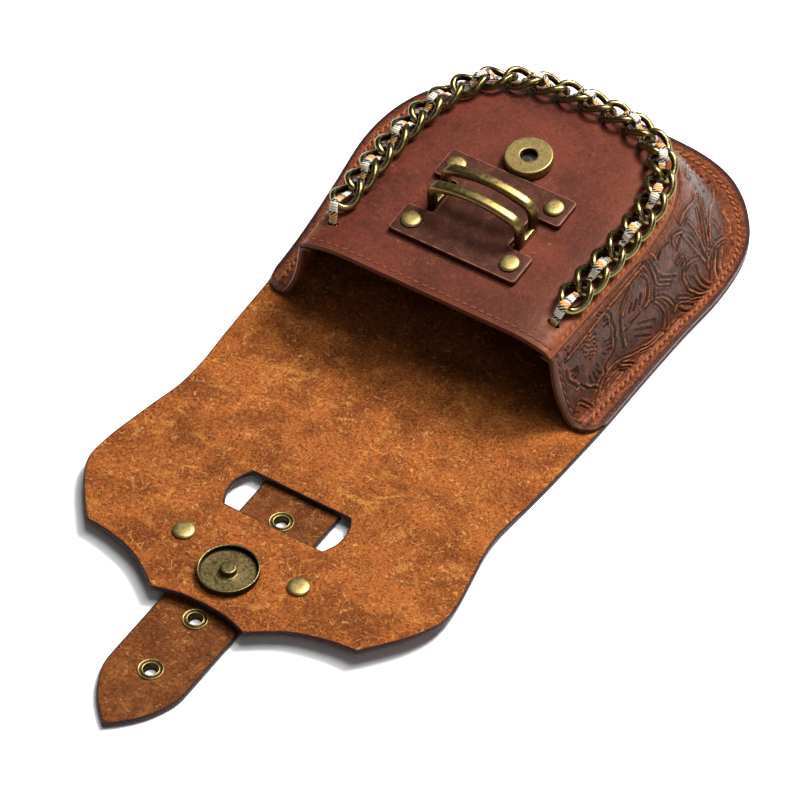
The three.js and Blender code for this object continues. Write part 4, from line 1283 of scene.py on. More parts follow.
@dataclass
class Stitching:
    """A row of sewn stitches: slanted threads that dip into holes painted dark as their shade."""

    pitch: float = 3.3
    shows: float = 0.72
    radius: float = 0.4
    slant: float = 14.0
    uneven: float = 3.0
    play: tuple[float, float] = (0.94, 1.06)
    bow: float = 0.55
    sunk: float = 0.35
    thinner: float = 0.45
    flat: tuple[float, float] = (1.15, 0.8)
    turns: int = 8
    sides: int = 7
    hole: tuple[float, float] = (0.75, 0.48)
    hole_deep: float = 0.3
    hole_high: float = 0.03
    hole_sides: int = 10

    def build(self, name: str, line: Array, up: Array, materials: Sequence[Material],
              slot: Slot) -> None:
        """Sews the row.

        Args:
            name: The piece's name.
            line: Points of the row on the leather, in millimetres.
            up: The way off the leather at each point.
            materials: The thread and the hole.
            slot: The material slot that it hands on to finish_piece.
        """
        length = along(line)[-1]
        count = int(length / self.pitch)
        points, faces, dark = [], [], []
        rng = np.random.default_rng(5)
        for k in range(count):
            at = (k + 0.5) * length / count
            middle, ahead, off, side = self.axes(line, up, at)
            turn = math.radians(self.slant + rng.normal(0, self.uneven))
            heading = ahead * math.cos(turn) + side * math.sin(turn)
            self.add_thread(points, faces, middle, heading, off, rng)
            middle, ahead, off, side = self.axes(line, up, at + length / count / 2)
            dark.append(len(faces))
            self.add_hole(points, faces, middle + off * self.hole_high, ahead, side, off)
            dark.append(len(faces))
        piece = give(piece_from(name, np.array(points), faces), materials[0])
        piece.data.materials.append(materials[1])
        index = np.zeros(len(faces), np.int32)
        for first, last in zip(dark[::2], dark[1::2]):
            index[first:last] = 1
        piece.data.polygons.foreach_set("material_index", index)
        finish_piece(piece, slot)

    def axes(self, line: Array, up: Array, at: float) -> tuple[Array, ...]:
        """Reads how the row runs at a distance.

        Args:
            line: Points of the row.
            up: The way off the leather at each point.
            at: The distance from the row's start.

        Returns:
            The row's place, its way ahead, its way off the leather and its way aside.
        """
        length, reach = along(line), 0.4
        before, middle, after = (read_row(line, length, at + step) for step in (-reach, 0, reach))
        ahead = after - before
        ahead /= np.linalg.norm(ahead)
        off = read_row(up, length, at)
        off -= ahead * (off @ ahead)
        off /= np.linalg.norm(off)
        return middle, ahead, off, np.cross(off, ahead)

    def add_thread(self, points: list, faces: list, middle: Array, heading: Array,
                   off: Array, rng: np.random.Generator) -> None:
        """Adds one thread, bowed up in its middle.

        Args:
            points: The points so far.
            faces: The faces so far.
            middle: The thread's middle.
            heading: The way it runs.
            off: The way off the leather.
            rng: Draws its length.
        """
        first, half = len(points), self.pitch * self.shows / 2 * rng.uniform(*self.play)
        aside = np.cross(off, heading)
        for t in np.linspace(-1, 1, self.turns):
            base = middle + heading * half * t + off * (self.bow * (1 - t**4) - self.sunk) * self.radius
            wide = self.radius * (1 - self.thinner * t**4)
            for k in range(self.sides):
                turn = 2 * math.pi * k / self.sides
                across = aside * wide * math.cos(turn) * self.flat[0]
                points.append(base + across + off * wide * math.sin(turn) * self.flat[1])
        faces.extend(tube_faces(self.turns, self.sides, first))

    def add_hole(self, points: list, faces: list, middle: Array, ahead: Array, side: Array,
                 off: Array) -> None:
        """Adds one hole, a thin lens on the leather that is painted dark as the shade in it.

        Args:
            points: The points so far.
            faces: The faces so far.
            middle: The hole's middle.
            ahead: The way the row runs.
            side: The way aside.
            off: The way off the leather.
        """
        first, sides = len(points), self.hole_sides
        for k in range(sides):
            turn = 2 * math.pi * k / sides
            forward = ahead * self.hole[0] * math.cos(turn)
            points.append(middle + forward + side * self.hole[1] * math.sin(turn))
        points.extend((middle + off * self.hole_high, middle - off * self.hole_deep))
        for k in range(sides):
            n = (k + 1) % sides
            faces.append((first + k, first + n, first + sides))
            faces.append((first + n, first + k, first + sides + 1))


@dataclass
class BackPanel:
    """The back of the pouch and the flap, one piece of leather with a slot and holes."""

    shape: BagShape

    def slot_edge(self) -> Array:
        """Draws the slot.

        Returns:
            The slot's edge in plan, with bulged ends.
        """
        shape = self.shape
        half, reach = shape.slot_width / 2, shape.slot_length / 2
        t = np.linspace(-1, 1, 17)
        end = np.stack([half + shape.slot_bulge * (1 - t * t), -shape.slot_from_mouth + reach * t], axis=1)
        return np.concatenate([end, end[::-1] * (-1, 1)])

    def build(self, material: Material) -> None:
        """Makes the panel.

        Args:
            material: Its leather.
        """
        shape = self.shape
        outline = np.concatenate([shape.back_edge(), shape.flap_edge()[::-1][1:-1]])
        holes = [self.slot_edge(), circle(0, -shape.cup_from_mouth, RIVET_HOLE, 20)]
        holes += shape.flap_rivet_holes()
        top = raised(shape.flap_underside, shape.back_thick)
        sheet = CutLeather(outline, top, shape.flap_underside, holes)
        finish_piece(give(sheet.build("back_panel_leather"), material), Slot.SUEDE, "back_panel")


@dataclass
class Strap:
    """The pointed strap under the flap, with its eyelets."""

    shape: BagShape
    eyelets: tuple[float, ...] = (-163.7, -138.7, -113.7, -88.7)
    corner: float = 3.0
    hole: float = 3.15

    def edge(self) -> Array:
        """Draws the strap.

        Returns:
            Its outline in plan, from the right end of its point.
        """
        shape = self.shape
        half = shape.strap_width / 2
        tip = spline([(w * half, -(shape.strap_tip - shape.tip_length) - a * shape.tip_length)
                      for a, w in STRAP_POINT], 24)
        end = np.array([(half, -shape.strap_end - self.corner), (half - self.corner, -shape.strap_end),
                        (self.corner - half, -shape.strap_end), (-half, -shape.strap_end - self.corner)])
        return np.concatenate([tip, tip[::-1][1:] * (-1, 1), end[::-1]])

    def low(self, x: Array, y: Array) -> Array:
        """Height of its lower face."""
        return self.shape.strap_underside(y) + 0 * x

    def build(self, material: Material, metal: Material) -> None:
        """Makes the strap and its eyelets.

        Args:
            material: Its suede.
            metal: The eyelets' brass.
        """
        holes = [circle(0, y, self.hole, 24) for y in self.eyelets]
        sheet = CutLeather(self.edge(), raised(self.low, self.shape.strap_thick), self.low, holes)
        finish_piece(give(sheet.build("strap_leather"), material), Slot.SUEDE, "strap")
        first = settle(turned("eyelet_ring", EYELET, 40, 0.05, bored=True))
        # Painted shade: the eyelet's bore is marked, so that its brass is painted dark as the shade inside
        # the hole.
        mark_painted_shade(first, 0, 3.75, 2.3)
        for i, y in enumerate(self.eyelets):
            height = float(self.shape.strap_underside(np.array(y)))
            ring = copied(first, f"eyelet_ring_{i + 1}", Matrix.Translation((0, y * MM, height * MM)))
            finish_piece(give(ring, metal), Slot.BRASS, f"eyelet_{i + 1}")
        bpy.data.objects.remove(first)


@dataclass
class Keeper:
    """The plain band under the flap that the strap slides through."""

    shape: BagShape
    half: float = 27.7
    inside: float = 16.4
    bend: float = 2.8
    rise: float = 3.15
    thick: float = 1.2

    def low(self, x: Array, y: Array) -> Array:
        """Height of its lower face."""
        return self.rise * smooth((np.abs(x) - self.inside) / self.bend) + 0 * y

    def build(self, material: Material) -> None:
        """Makes the band.

        Args:
            material: Its leather.
        """
        shape = self.shape
        start = -shape.keeper_middle - shape.keeper_length / 2
        end = start + shape.keeper_length
        outline = np.array([(-self.half, start), (self.half, start), (self.half, end), (-self.half, end)])
        sheet = CutLeather(outline, raised(self.low, self.thick), self.low, shape.flap_rivet_holes(),
                           spacing=2.0, edge_step=1.0, rounding=0.3)
        finish_piece(give(sheet.build("strap_keeper_leather"), material), Slot.DARK, "strap_keeper")


@dataclass
class FrontPanel:
    """The U-shaped front of the pouch, rolled down along its seam."""

    shape: BagShape
    taper: float = 2.6
    edge_left: float = 1.0
    stitch_inset: float = 2.5
    seam_inset: float = 1.1
    groove: float = 0.3
    groove_wide: tuple[float, float] = (0.75, 0.6)
    row_short: float = 2.0
    seam_short: int = 6
    probe: float = 0.8

    def top(self, x: Array, y: Array) -> Array:
        """Height of its outer face, pared down to its sewn edge.

        Args:
            x: The places' x.
            y: The places' y.

        Returns:
            One height for each place.
        """
        shape = self.shape
        seam = distance_to(shape.front_edge(), x, y)
        near = np.maximum(0, 1 - seam / self.taper)
        from_row = (y + shape.mouth_overhang - self.stitch_inset) / self.groove_wide[0]
        from_seam = (seam - self.seam_inset) / self.groove_wide[1]
        sunk = np.maximum(self.groove * np.exp(-(from_row**2)), self.groove * np.exp(-(from_seam**2)))
        return shape.front_top(x, y) - (shape.front_thick - self.edge_left) * near**2 - sunk

    def mouth_row(self, inset: float) -> Array:
        """A line in plan along the mouth, at a distance from its edge."""
        half = self.shape.front_width / 2 - self.row_short
        x = np.linspace(-half, half, 60)
        return np.column_stack([x, np.full(len(x), inset - self.shape.mouth_overhang)])

    def seam_row(self, inset: float) -> Array:
        """Draws a line along the sewn edge.

        Args:
            inset: Its distance inside the edge.

        Returns:
            Its points, in plan.
        """
        edge = self.shape.front_edge(240)
        ahead = np.gradient(edge, axis=0)
        ahead /= np.linalg.norm(ahead, axis=1)[:, None]
        return edge + inset * np.stack([-ahead[:, 1], ahead[:, 0]], axis=1)

    def sew_mouth(self, materials: Sequence[Material]) -> None:
        """Sews the row along the mouth.

        Args:
            materials: The thread and the hole.
        """
        row = self.mouth_row(self.stitch_inset)
        height = self.top(*row.T)
        slope = np.gradient(height, row[:, 0])
        up = np.column_stack([-slope, np.full(len(row), -self.shape.front_slope), np.ones(len(row))])
        mouth = Stitching(pitch=3.2, slant=16, radius=0.42, shows=0.68)
        mouth.build("front_mouth_stitches", np.column_stack([row, height]), up, materials, Slot.FRONT)

    def sew_seam(self, coarse: Sequence[Material]) -> None:
        """Sews the row along the seam.

        Args:
            coarse: The coarse thread and the hole.
        """
        part = slice(self.seam_short, -self.seam_short)
        row = self.seam_row(self.seam_inset)[part]
        height = self.top(*row.T)
        ahead = np.gradient(np.column_stack([row, height]), axis=0)
        outward = self.top(*self.seam_row(self.seam_inset - self.probe)[part].T) - height
        level = np.column_stack([ahead[:, 1], -ahead[:, 0], 0 * height])
        level /= np.linalg.norm(level, axis=1)[:, None]
        level[:, 2] = outward / self.probe
        up = np.cross(level, ahead)
        up *= np.sign(up[:, 2:3])
        seam = Stitching(pitch=3.0, slant=22, radius=0.42, shows=0.8)
        seam.build("front_seam_stitches", np.column_stack([row, height]), up, coarse, Slot.FRONT)

    def build(self, material: Material, ribbon_holes: list[Array]) -> None:
        """Makes the panel.

        Args:
            material: Its leather.
            ribbon_holes: The holes of the ribbon, in plan.
        """
        shape = self.shape
        tilt = math.cos(math.atan(shape.front_slope))
        places = [(x, y) for x in (-shape.rivet_x, shape.rivet_x) for y in shape.rivet_y]
        rounds = [circle(x, y * tilt, 1.75, 20) for x, y in [*places, (0.0, shape.snap_from_mouth)]]
        sheet = CutLeather(shape.front_edge(), self.top, raised(shape.front_top, -shape.front_thick),
                           rounds + ribbon_holes, spacing=2.4, edge_step=1.2, rounding=0.45)
        sheet.lines = [self.mouth_row(self.stitch_inset + off) for off in (-0.75, 0.0, 0.75)]
        sheet.lines += [self.seam_row(inset)[5:-5] for inset in (1.7, 2.9)]
        sheet.marks["seam"] = lambda x, y: distance_to(shape.front_edge(), x, y)
        finish_piece(give(sheet.build("front_panel_leather"), material), Slot.FRONT, "front_panel")


# The tooling on the gusset: strokes as (kind, points), each point (distance from the right end of the mouth,
# distance from the seam).
TOOLING = (
    ("ridge", ((8, 9.5), (30, 6.5), (45, 5), (62, 4))),
    ("tick", ((10.2, 18.5), (12.8, 18.2))), ("tick", ((9.8, 20.5), (12.8, 20))),
    ("tick", ((10.2, 22.5), (12.6, 21.8))), ("tick", ((29, 19.5), (31.4, 20))),
    ("tick", ((29, 21.5), (31.2, 22.3))), ("tick", ((28.4, 23.4), (30.4, 24.6))),
    ("tick", ((17, 28), (16.6, 31.6))), ("tick", ((19, 28), (19, 32.2))), ("tick", ((21, 28), (21.6, 31.4))),
    ("tick", ((26, 23.4), (27, 25))), ("tick", ((22, 26), (22.2, 28))), ("tick", ((30, 3.5), (31, 5.2))),
    ("tick", ((31.8, 3.2), (32.6, 5))), ("tick", ((31, 7), (32.6, 8.6))),
    ("tick", ((31.6, 9.6), (33.6, 10.4))),
    ("tick", ((31, 12), (33.2, 12))), ("tick", ((9, 2.6), (9.4, 4.6))), ("tick", ((10.6, 2.6), (10.8, 4.2))),
    ("tick", ((9.5, 6.6), (9.6, 7.8))),
    ("cut", ((7, 15), (6.8, 19), (7.2, 22), (9, 25), (10, 27.5))),
    ("cut", ((10, 27.5), (12, 28), (13, 30))), ("cut", ((13, 30), (14.4, 33), (16, 34), (18, 36.5))),
    ("cut", ((18, 36.5), (21, 34.5), (24, 33), (25, 30), (28, 28.4), (31, 27), (33.4, 24), (34, 20.6))),
    ("cut", ((34, 20.6), (35.6, 17), (35, 13), (36.2, 9.4), (34.8, 6))),
    ("ridge", ((5.5, 37), (8, 35), (10, 39), (10.5, 42), (9, 44.5))),
    ("ridge", ((14, 43), (16, 41), (19, 37.5), (22, 34.8), (26, 33.2), (29, 33), (33, 34), (38, 37),
               (42, 39), (46, 41), (52, 41))),
    ("ridge", ((12, 43.5), (18, 41.5), (21, 39), (24, 37.2), (29, 37.2))),
    ("ridge", ((10, 45), (17, 43.2), (24, 42), (30, 41))),
    ("ridge", ((31, 36), (34, 40), (34, 43), (32, 46))), ("cut", ((33, 37), (36, 42), (34.4, 46))),
    ("cut", ((50, 6), (46, 8), (42, 10.5), (40, 13), (38.5, 17), (37, 22), (36, 27), (35.5, 30))),
    ("ridge", ((48, 10), (43, 13), (41, 15.5))),
    ("cut", ((57, 7), (58, 11), (56, 16), (52, 20), (46, 21.4), (40, 21))),
    ("tick", ((44, 17), (47, 14))), ("tick", ((46.5, 18), (50, 14.6))), ("tick", ((50, 18), (53, 14))),
    ("cut", ((38, 23), (44, 22.4), (50, 22.2), (57, 22))),
    ("ridge", ((57, 22), (60, 24), (62, 28), (62.5, 32))),
    ("ridge", ((56.5, 23), (58, 27), (58, 32), (56, 36), (54, 39), (51, 41), (46, 41), (42, 38.5))),
    ("tick", ((43, 27), (50, 33))), ("tick", ((46, 26), (53, 31))), ("tick", ((42, 30), (48, 36))),
    ("ridge", ((61, 3), (60.5, 10), (59, 16), (56, 21))),
    ("ridge", ((64, 4), (62.5, 12), (61.5, 17), (64, 20), (66, 22))),
    ("cut", ((63.5, 10), (64, 15), (67, 19), (70, 22))), ("ridge", ((68, 3), (67, 8))),
    ("ridge", ((45, 46), (50, 44), (56, 42.5), (60, 42))),
    ("ridge", ((61.5, 36), (63, 34.5), (66, 34.5), (68, 37), (71, 40), (72, 43))),
    ("cut", ((63.5, 36), (64, 41), (66, 43), (68, 41), (66, 36))),
    ("ridge", ((66, 32), (69, 36), (71.5, 41), (73, 44))), ("ridge", ((71.5, 33), (73, 38), (75, 43))),
    ("ridge", ((78, 11), (79, 8.5), (82, 8), (85, 10))), ("cut", ((77.5, 13.5), (81, 12), (84.5, 10.5))),
    ("ridge", ((74, 18), (78, 18), (77, 21), (75, 22.5))),
    ("ridge", ((73.5, 41), (73, 37), (72, 33), (72.5, 29), (73, 26), (76, 23.5), (80, 24), (83.5, 26.5))),
    ("cut", ((76.5, 30), (76, 36), (75.5, 42))), ("cut", ((80.5, 28), (78.5, 33), (78, 38), (78, 42))),
    ("ridge", ((85, 31), (85, 20), (84.5, 12))), ("cut", ((86.5, 31), (88, 22), (88.5, 16), (86, 11))),
    ("ridge", ((87.5, 31), (90, 22), (91.5, 14), (91, 10))),
    ("cut", ((88.5, 29), (91, 24), (95, 20), (99, 16), (101, 14))),
    ("ridge", ((90.5, 29.5), (95, 24), (100, 19.5), (106, 16), (110, 15.5))),
    ("cut", ((91, 30), (97, 24.5), (103, 21), (109, 19))),
    ("ridge", ((92, 29.5), (97, 26.5), (102, 25), (108, 26), (114, 31), (120, 36), (124, 40))),
    ("ridge", ((88, 7), (94, 7), (98, 8.5), (102, 11), (106, 11.5), (110, 14))),
    ("cut", ((101, 27), (101.5, 30), (100, 34))), ("cut", ((104, 28), (104.5, 31), (103, 35))),
    ("ridge", ((84, 35), (86, 32.5), (90, 31.5), (94, 32), (97, 34), (100, 37))),
    ("cut", ((80, 40), (84, 36), (88, 33))), ("ridge", ((81, 43), (86, 37.5), (92, 34))),
    ("cut", ((84, 42), (88, 38), (94, 35.5))), ("ridge", ((82, 45), (88, 40), (96, 37))),
    ("cut", ((93, 46), (96, 43.5), (101, 41))), ("ridge", ((103, 41), (108, 41), (113, 38.5))),
    ("cut", ((103, 39), (107, 37))), ("cut", ((110, 41), (114, 39.5))),
    ("cut", ((67, 8), (72, 6), (77, 7))), ("cut", ((112, 8), (118, 12), (122, 19), (124, 27))),
    ("ridge", ((113, 6), (120, 10), (126, 18), (128, 28))), ("tick", ((112, 20), (116, 24))),
    ("tick", ((115, 18), (119, 23))),
)
# How each kind of stroke is cut: height and width of its middle, height of its two sides and where they lie.
CARVING = {
    "ridge": (1.1, 0.46, -0.6, 1.0),
    "beside": (0.6, 0.42, -0.35, 0.85),
    "cut": (-1.2, 0.42, 0.45, 0.95),
    "tick": (-1.5, 0.45, 0.25, 1.0),
    "seed": (-1.3, 0.55, 0.35, 1.0),
}
# How far off a long stroke of each kind finer ones run beside it.
BESIDE = {"ridge": (1.9, -1.6), "cut": (1.5,), "tick": (1.5,)}
# The seeds in the flower's middle, set in a spiral.
SEEDS = tuple(
    (21.5 + 4.6 * math.sqrt(k / 27) * math.cos(2.4 * k), 14 + 6.8 * math.sqrt(k / 27) * math.sin(2.4 * k))
    for k in range(1, 28)
)


@dataclass
class Gusset:
    """The tooled band round the pouch, tucked under the front and sewn flat on the back's border."""

    shape: BagShape
    fine_step: float = 0.38
    fine_until: float = 132.0
    coarse_step: float = 0.95
    end_steps: tuple[float, ...] = (0.0, 0.1, 0.35, 0.75, 1.2)
    end_swell: tuple[float, ...] = (0.25, 0.52, 0.76, 0.93, 1.0)
    end_clear: float = 1.6
    wall_run: float = 42.0
    wall_count: int = 100
    flange: float = 8.0
    flange_count: int = 12
    lip: float = 3.4
    inner_count: int = 26
    thick: float = 1.8
    flange_top: float = 4.1
    seam_gap: float = 0.12
    pinch: float = 2.0
    pinch_reach: float = 48.0
    corner: float = 6.5
    seam_line: float = 1.3
    border_line: float = 4.9
    line_depth: tuple[float, float] = (0.6, 0.9)
    relief_depth: float = 0.42

    def __post_init__(self) -> None:
        """Lays out the two edges that the band runs between, and the curve of its wall."""
        dense = 2000
        self.front, self.back = self.shape.front_edge(dense), self.shape.back_edge(dense)
        self.runs = along((self.front + self.back) / 2)
        self.length = float(self.runs[-1])
        self.wall = spline(WALL_ROWS, 60)

    def outer(self, s: float, v: Array) -> Array:
        """Finds places on the band's outer face at a share of its length.

        Args:
            s: Share of the length, from the right end of the mouth.
            v: Distances from the seam down the wall and then out on the flange.

        Returns:
            One (x, y, z) for each distance.
        """
        place = np.interp(s * self.length, self.runs, np.arange(len(self.runs)))
        k = min(int(place), len(self.front) - 2)
        front, back = (edge[k] + (edge[k + 1] - edge[k]) * (place - k) for edge in (self.front, self.back))
        reach = float(np.linalg.norm(back - front))
        out = (back - front) / reach
        seam = float(self.under_front(*front))
        share = np.clip(v / self.wall_run, 0, 1)
        across, rise = (np.interp(share, np.linspace(0, 1, len(self.wall)), c) for c in self.wall.T)
        near = max(0.0, 1 - (front[1] + back[1]) / 2 / self.pinch_reach)
        r = across * (reach - self.flange) - 4 * rise * (1 - rise) * self.pinch * near**2
        r = r + np.where(v > self.wall_run, v - self.wall_run, 0) + np.where(v < 0, v, 0)
        tucked = np.minimum(v, 0)
        lip = front[0] + out[0] * tucked, np.maximum(front[1] + out[1] * tucked, -self.shape.mouth_overhang)
        z = np.where(v < 0, self.under_front(*lip), self.flange_top + rise * (seam - self.flange_top))
        return np.column_stack([front[0] + out[0] * r, front[1] + out[1] * r, z])

    def under_front(self, x: Array, y: Array) -> Array:
        """Height just under the front panel."""
        return self.shape.front_top(x, y) - self.shape.front_thick - self.seam_gap

    def relief(self, u: Array, v: Array) -> Array:
        """Carves the band.

        Args:
            u: Distance of each row of points from the right end of the mouth.
            v: Distance of each column of points from the seam.

        Returns:
            The tooling's height for each row and column, from -1 in a groove to 1 on a ridge.
        """
        height = np.zeros((len(u), len(v)))
        # Each copy of the tooling: its way, its shift, and where in the tooling it starts and ends.
        copies = ((1, 0.0, 0, 400), (-1, self.length, 0, 128), (1, 64.0, 60, 104), (1, 128.0, 38, 58))
        for way, shift, first, last in copies:
            for kind, knots in TOOLING:
                line = np.array(knots)
                if first <= line[:, 0].mean() <= last:
                    line[:, 0] = way * line[:, 0] + shift
                    self.carve(height, u, v, kind, line)
                    if len(line) > 3:
                        aside = np.gradient(line, axis=0)[:, ::-1] * (1, -1)
                        aside /= np.linalg.norm(aside, axis=1)[:, None]
                        for off in BESIDE[kind]:
                            self.carve(height, u, v, "beside", line + off * aside)
            for spot in SEEDS:
                if first <= spot[0] <= last:
                    self.carve(height, u, v, "seed", np.array([[way * spot[0] + shift, spot[1]]] * 2))
        return self.with_grooves(height, u, v)

    def with_grooves(self, height: Array, u: Array, v: Array) -> Array:
        """Adds the ground between the strokes and the grooves that the stitches lie in.

        Args:
            height: The strokes' height for each row and column.
            u: Distances of the rows.
            v: Distances of the columns.

        Returns:
            The whole height.
        """
        rows, columns = u[:, None], v[None, :]
        waves_along = np.sin(2.7 * u + 1.4 * np.sin(0.9 * u))
        waves_down = np.sin(2.9 * v + 1.2 * np.sin(1.1 * v))
        ground = waves_along[:, None] * waves_down[None, :] * ((columns > 3) & (columns < 48))
        height = np.clip(height, -1, 1) * smooth((43.6 - columns) / 1.4) + 0.14 * ground
        ends = np.minimum(rows, self.length - rows)
        stitch_line = self.stitch_run(v)[None, :]
        height -= 0.8 * np.exp(-(((ends - stitch_line) / 0.6) ** 2))
        height += 0.9 * smooth((stitch_line - 0.8 - ends) / 0.8)
        lines = self.seam_line, self.wall_run + self.flange - self.border_line
        for line, depth in zip(lines, self.line_depth):
            height -= depth * np.exp(-(((columns - line) / 0.6) ** 2))
        return height * smooth((columns + 0.4) / 0.8)

    def stitch_run(self, v: Array) -> Array:
        """How far in from the mouth its stitches run, at each distance from the seam."""
        return np.interp(v, (0, 20, 30, 45), (3.8, 4.4, 3.8, 3.1))

    def corner_cut(self, v: Array) -> Array:
        """How far the border's rounded corners stand back from the mouth, at each distance from the seam."""
        start = self.wall_run + self.flange - self.corner
        return self.corner - np.sqrt(np.maximum(0.0, self.corner**2 - np.maximum(0, v - start) ** 2))

    def carve(self, height: Array, u: Array, v: Array, kind: str, line: Array) -> None:
        """Adds one stroke of the tooling.

        Args:
            height: The heights that it changes.
            u: Distances of the rows.
            v: Distances of the columns.
            kind: Its row in CARVING.
            line: The stroke's points.
        """
        middle, wide, sides, away = CARVING[kind]
        if len(line) > 2:
            line = spline(line, 5 * (len(line) - 1))
        margin, sides_wide = 2.6, 0.5
        rows, columns = (np.flatnonzero((at > line[:, k].min() - margin) & (at < line[:, k].max() + margin))
                         for k, at in enumerate((u, v)))
        if not len(rows) or not len(columns):
            return
        across, down = np.meshgrid(u[rows], v[columns], indexing="ij")
        off = distance_to(line, across, down)
        stroke = middle * np.exp(-((off / wide) ** 2)) + sides * np.exp(-(((off - away) / sides_wide) ** 2))
        height[np.ix_(rows, columns)] += stroke

    def shares(self) -> Array:
        """Spaces the band's rows.

        Returns:
            Their shares of its length, close together at its two ends.
        """
        start = np.array(self.end_steps) / self.length
        even = np.concatenate([np.arange(0, self.fine_until, self.fine_step),
                               np.arange(self.fine_until, self.length, self.coarse_step)]) / self.length
        clear = self.end_clear / self.length
        return np.concatenate([start, even[(even > clear) & (even < 1 - clear)], 1 - start[::-1]])

    def columns(self) -> Array:
        """Distances of its columns from the seam, from the tucked lip to the flange's edge."""
        flange = self.wall_run + np.linspace(0, self.flange, self.flange_count + 1)[1:]
        wall = np.linspace(0, self.wall_run, self.wall_count)
        return np.concatenate([[-self.lip, -2.0, -0.9], wall, flange])

    def round_corners(self, grid: Array, relief: Array, u: Array, v: Array) -> None:
        """Draws the rows in along each column, so that the border's corners are round.

        Args:
            grid: The places on the outer face, which it changes.
            relief: The tooling's heights, which it changes.
            u: Distances of the rows.
            v: Distances of the columns.
        """
        ends = np.minimum(u, self.length - u)
        for j, into in enumerate(self.corner_cut(v)):
            place = into + ends * (1 - into / (self.length / 2))
            place = np.where(u < self.length / 2, place, self.length - place)
            relief[:, j] = np.interp(place, u, relief[:, j])
            grid[:, j] = np.column_stack([np.interp(place, u, column) for column in grid[:, j].T])

    def build(self, material: Material) -> None:
        """Makes the band.

        Args:
            material: Its leather.
        """
        shares, v = self.shares(), self.columns()
        u = shares * self.length
        swell = np.ones(len(shares))
        ends = len(self.end_swell)
        swell[:ends], swell[-ends:] = self.end_swell, self.end_swell[::-1]
        grid = np.array([self.outer(s, v) for s in shares])
        relief = self.relief(u, v)
        self.round_corners(grid, relief, u, v)
        normal = np.cross(np.gradient(grid, axis=1), np.gradient(grid, axis=0))
        normal /= np.linalg.norm(normal, axis=2)[:, :, None]
        normal *= np.sign(normal[:, -3:-2, 2:3])
        deep = grid - normal * self.thick
        deep[:, :, 2] = np.maximum(deep[:, :, 2], self.shape.back_thick + 0.05)
        half = (grid - deep) / 2 * swell[:, None, None]
        middle = (grid + deep) / 2
        outer = middle + half + normal * (relief * self.relief_depth)[:, :, None]
        inner = np.linspace(0, len(v) - 1, self.inner_count).round().astype(int)[::-1]
        rings = np.concatenate([outer, (middle - half)[:, inner]], axis=1)
        count, size = rings.shape[:2]
        values = {
            "side": np.tile(np.repeat([1.0, -1.0], [len(v), len(inner)]), count),
            "v": np.tile(np.concatenate([v, v[inner]]), count),
            "end": np.repeat(np.minimum(u, self.length - u), size),
            "relief": np.concatenate([relief, np.zeros((count, len(inner)))], axis=1).ravel(),
        }
        piece = piece_from("gusset_leather", rings.reshape(-1, 3), tube_faces(count, size), values)
        finish_piece(give(piece, material), Slot.TOOLED, "gusset")

    def row(self, u: Array, v: Array) -> tuple[Array, Array]:
        """Finds a row of stitches on the band.

        Args:
            u: Distances of its points from the right end of the mouth.
            v: Their distances from the seam.

        Returns:
            Its points on the groove's floor, and the way off the leather at each.
        """
        step = 0.3
        at = [self.outer(a / self.length, np.array([b, b + step])) for a, b in zip(u, v)]
        beside = [self.outer((a + step) / self.length, np.array([b]))[0] for a, b in zip(u, v)]
        line = np.array([pair[0] for pair in at])
        off = np.cross([pair[1] - pair[0] for pair in at], np.array(beside) - line)
        off /= np.linalg.norm(off, axis=1)[:, None]
        off *= np.where(off[:, 2:] < 0, -1, 1)
        return line - off * 0.6 * self.relief_depth, off

    def sew(self, materials: Sequence[Material], coarse: Sequence[Material]) -> None:
        """Sews the band's border with coarse thread and its two ends at the mouth with plain.

        Args:
            materials: The plain thread and the hole.
            coarse: The coarse thread and the hole.
        """
        u = np.linspace(6.0, self.length - 6.0, 300)
        border = Stitching(pitch=3.0, slant=26, radius=0.5, shows=0.84)
        line = self.wall_run + self.flange - self.border_line
        border.build("border_stitches", *self.row(u, 0 * u + line), coarse, Slot.TOOLED)
        v = np.linspace(2.5, 43.0, 40)
        ends = Stitching(pitch=3.4, slant=8, radius=0.34)
        for name, u in (("right", self.stitch_run(v)), ("left", self.length - self.stitch_run(v))):
            ends.build(f"mouth_stitches_{name}", *self.row(u, v), materials, Slot.TOOLED)


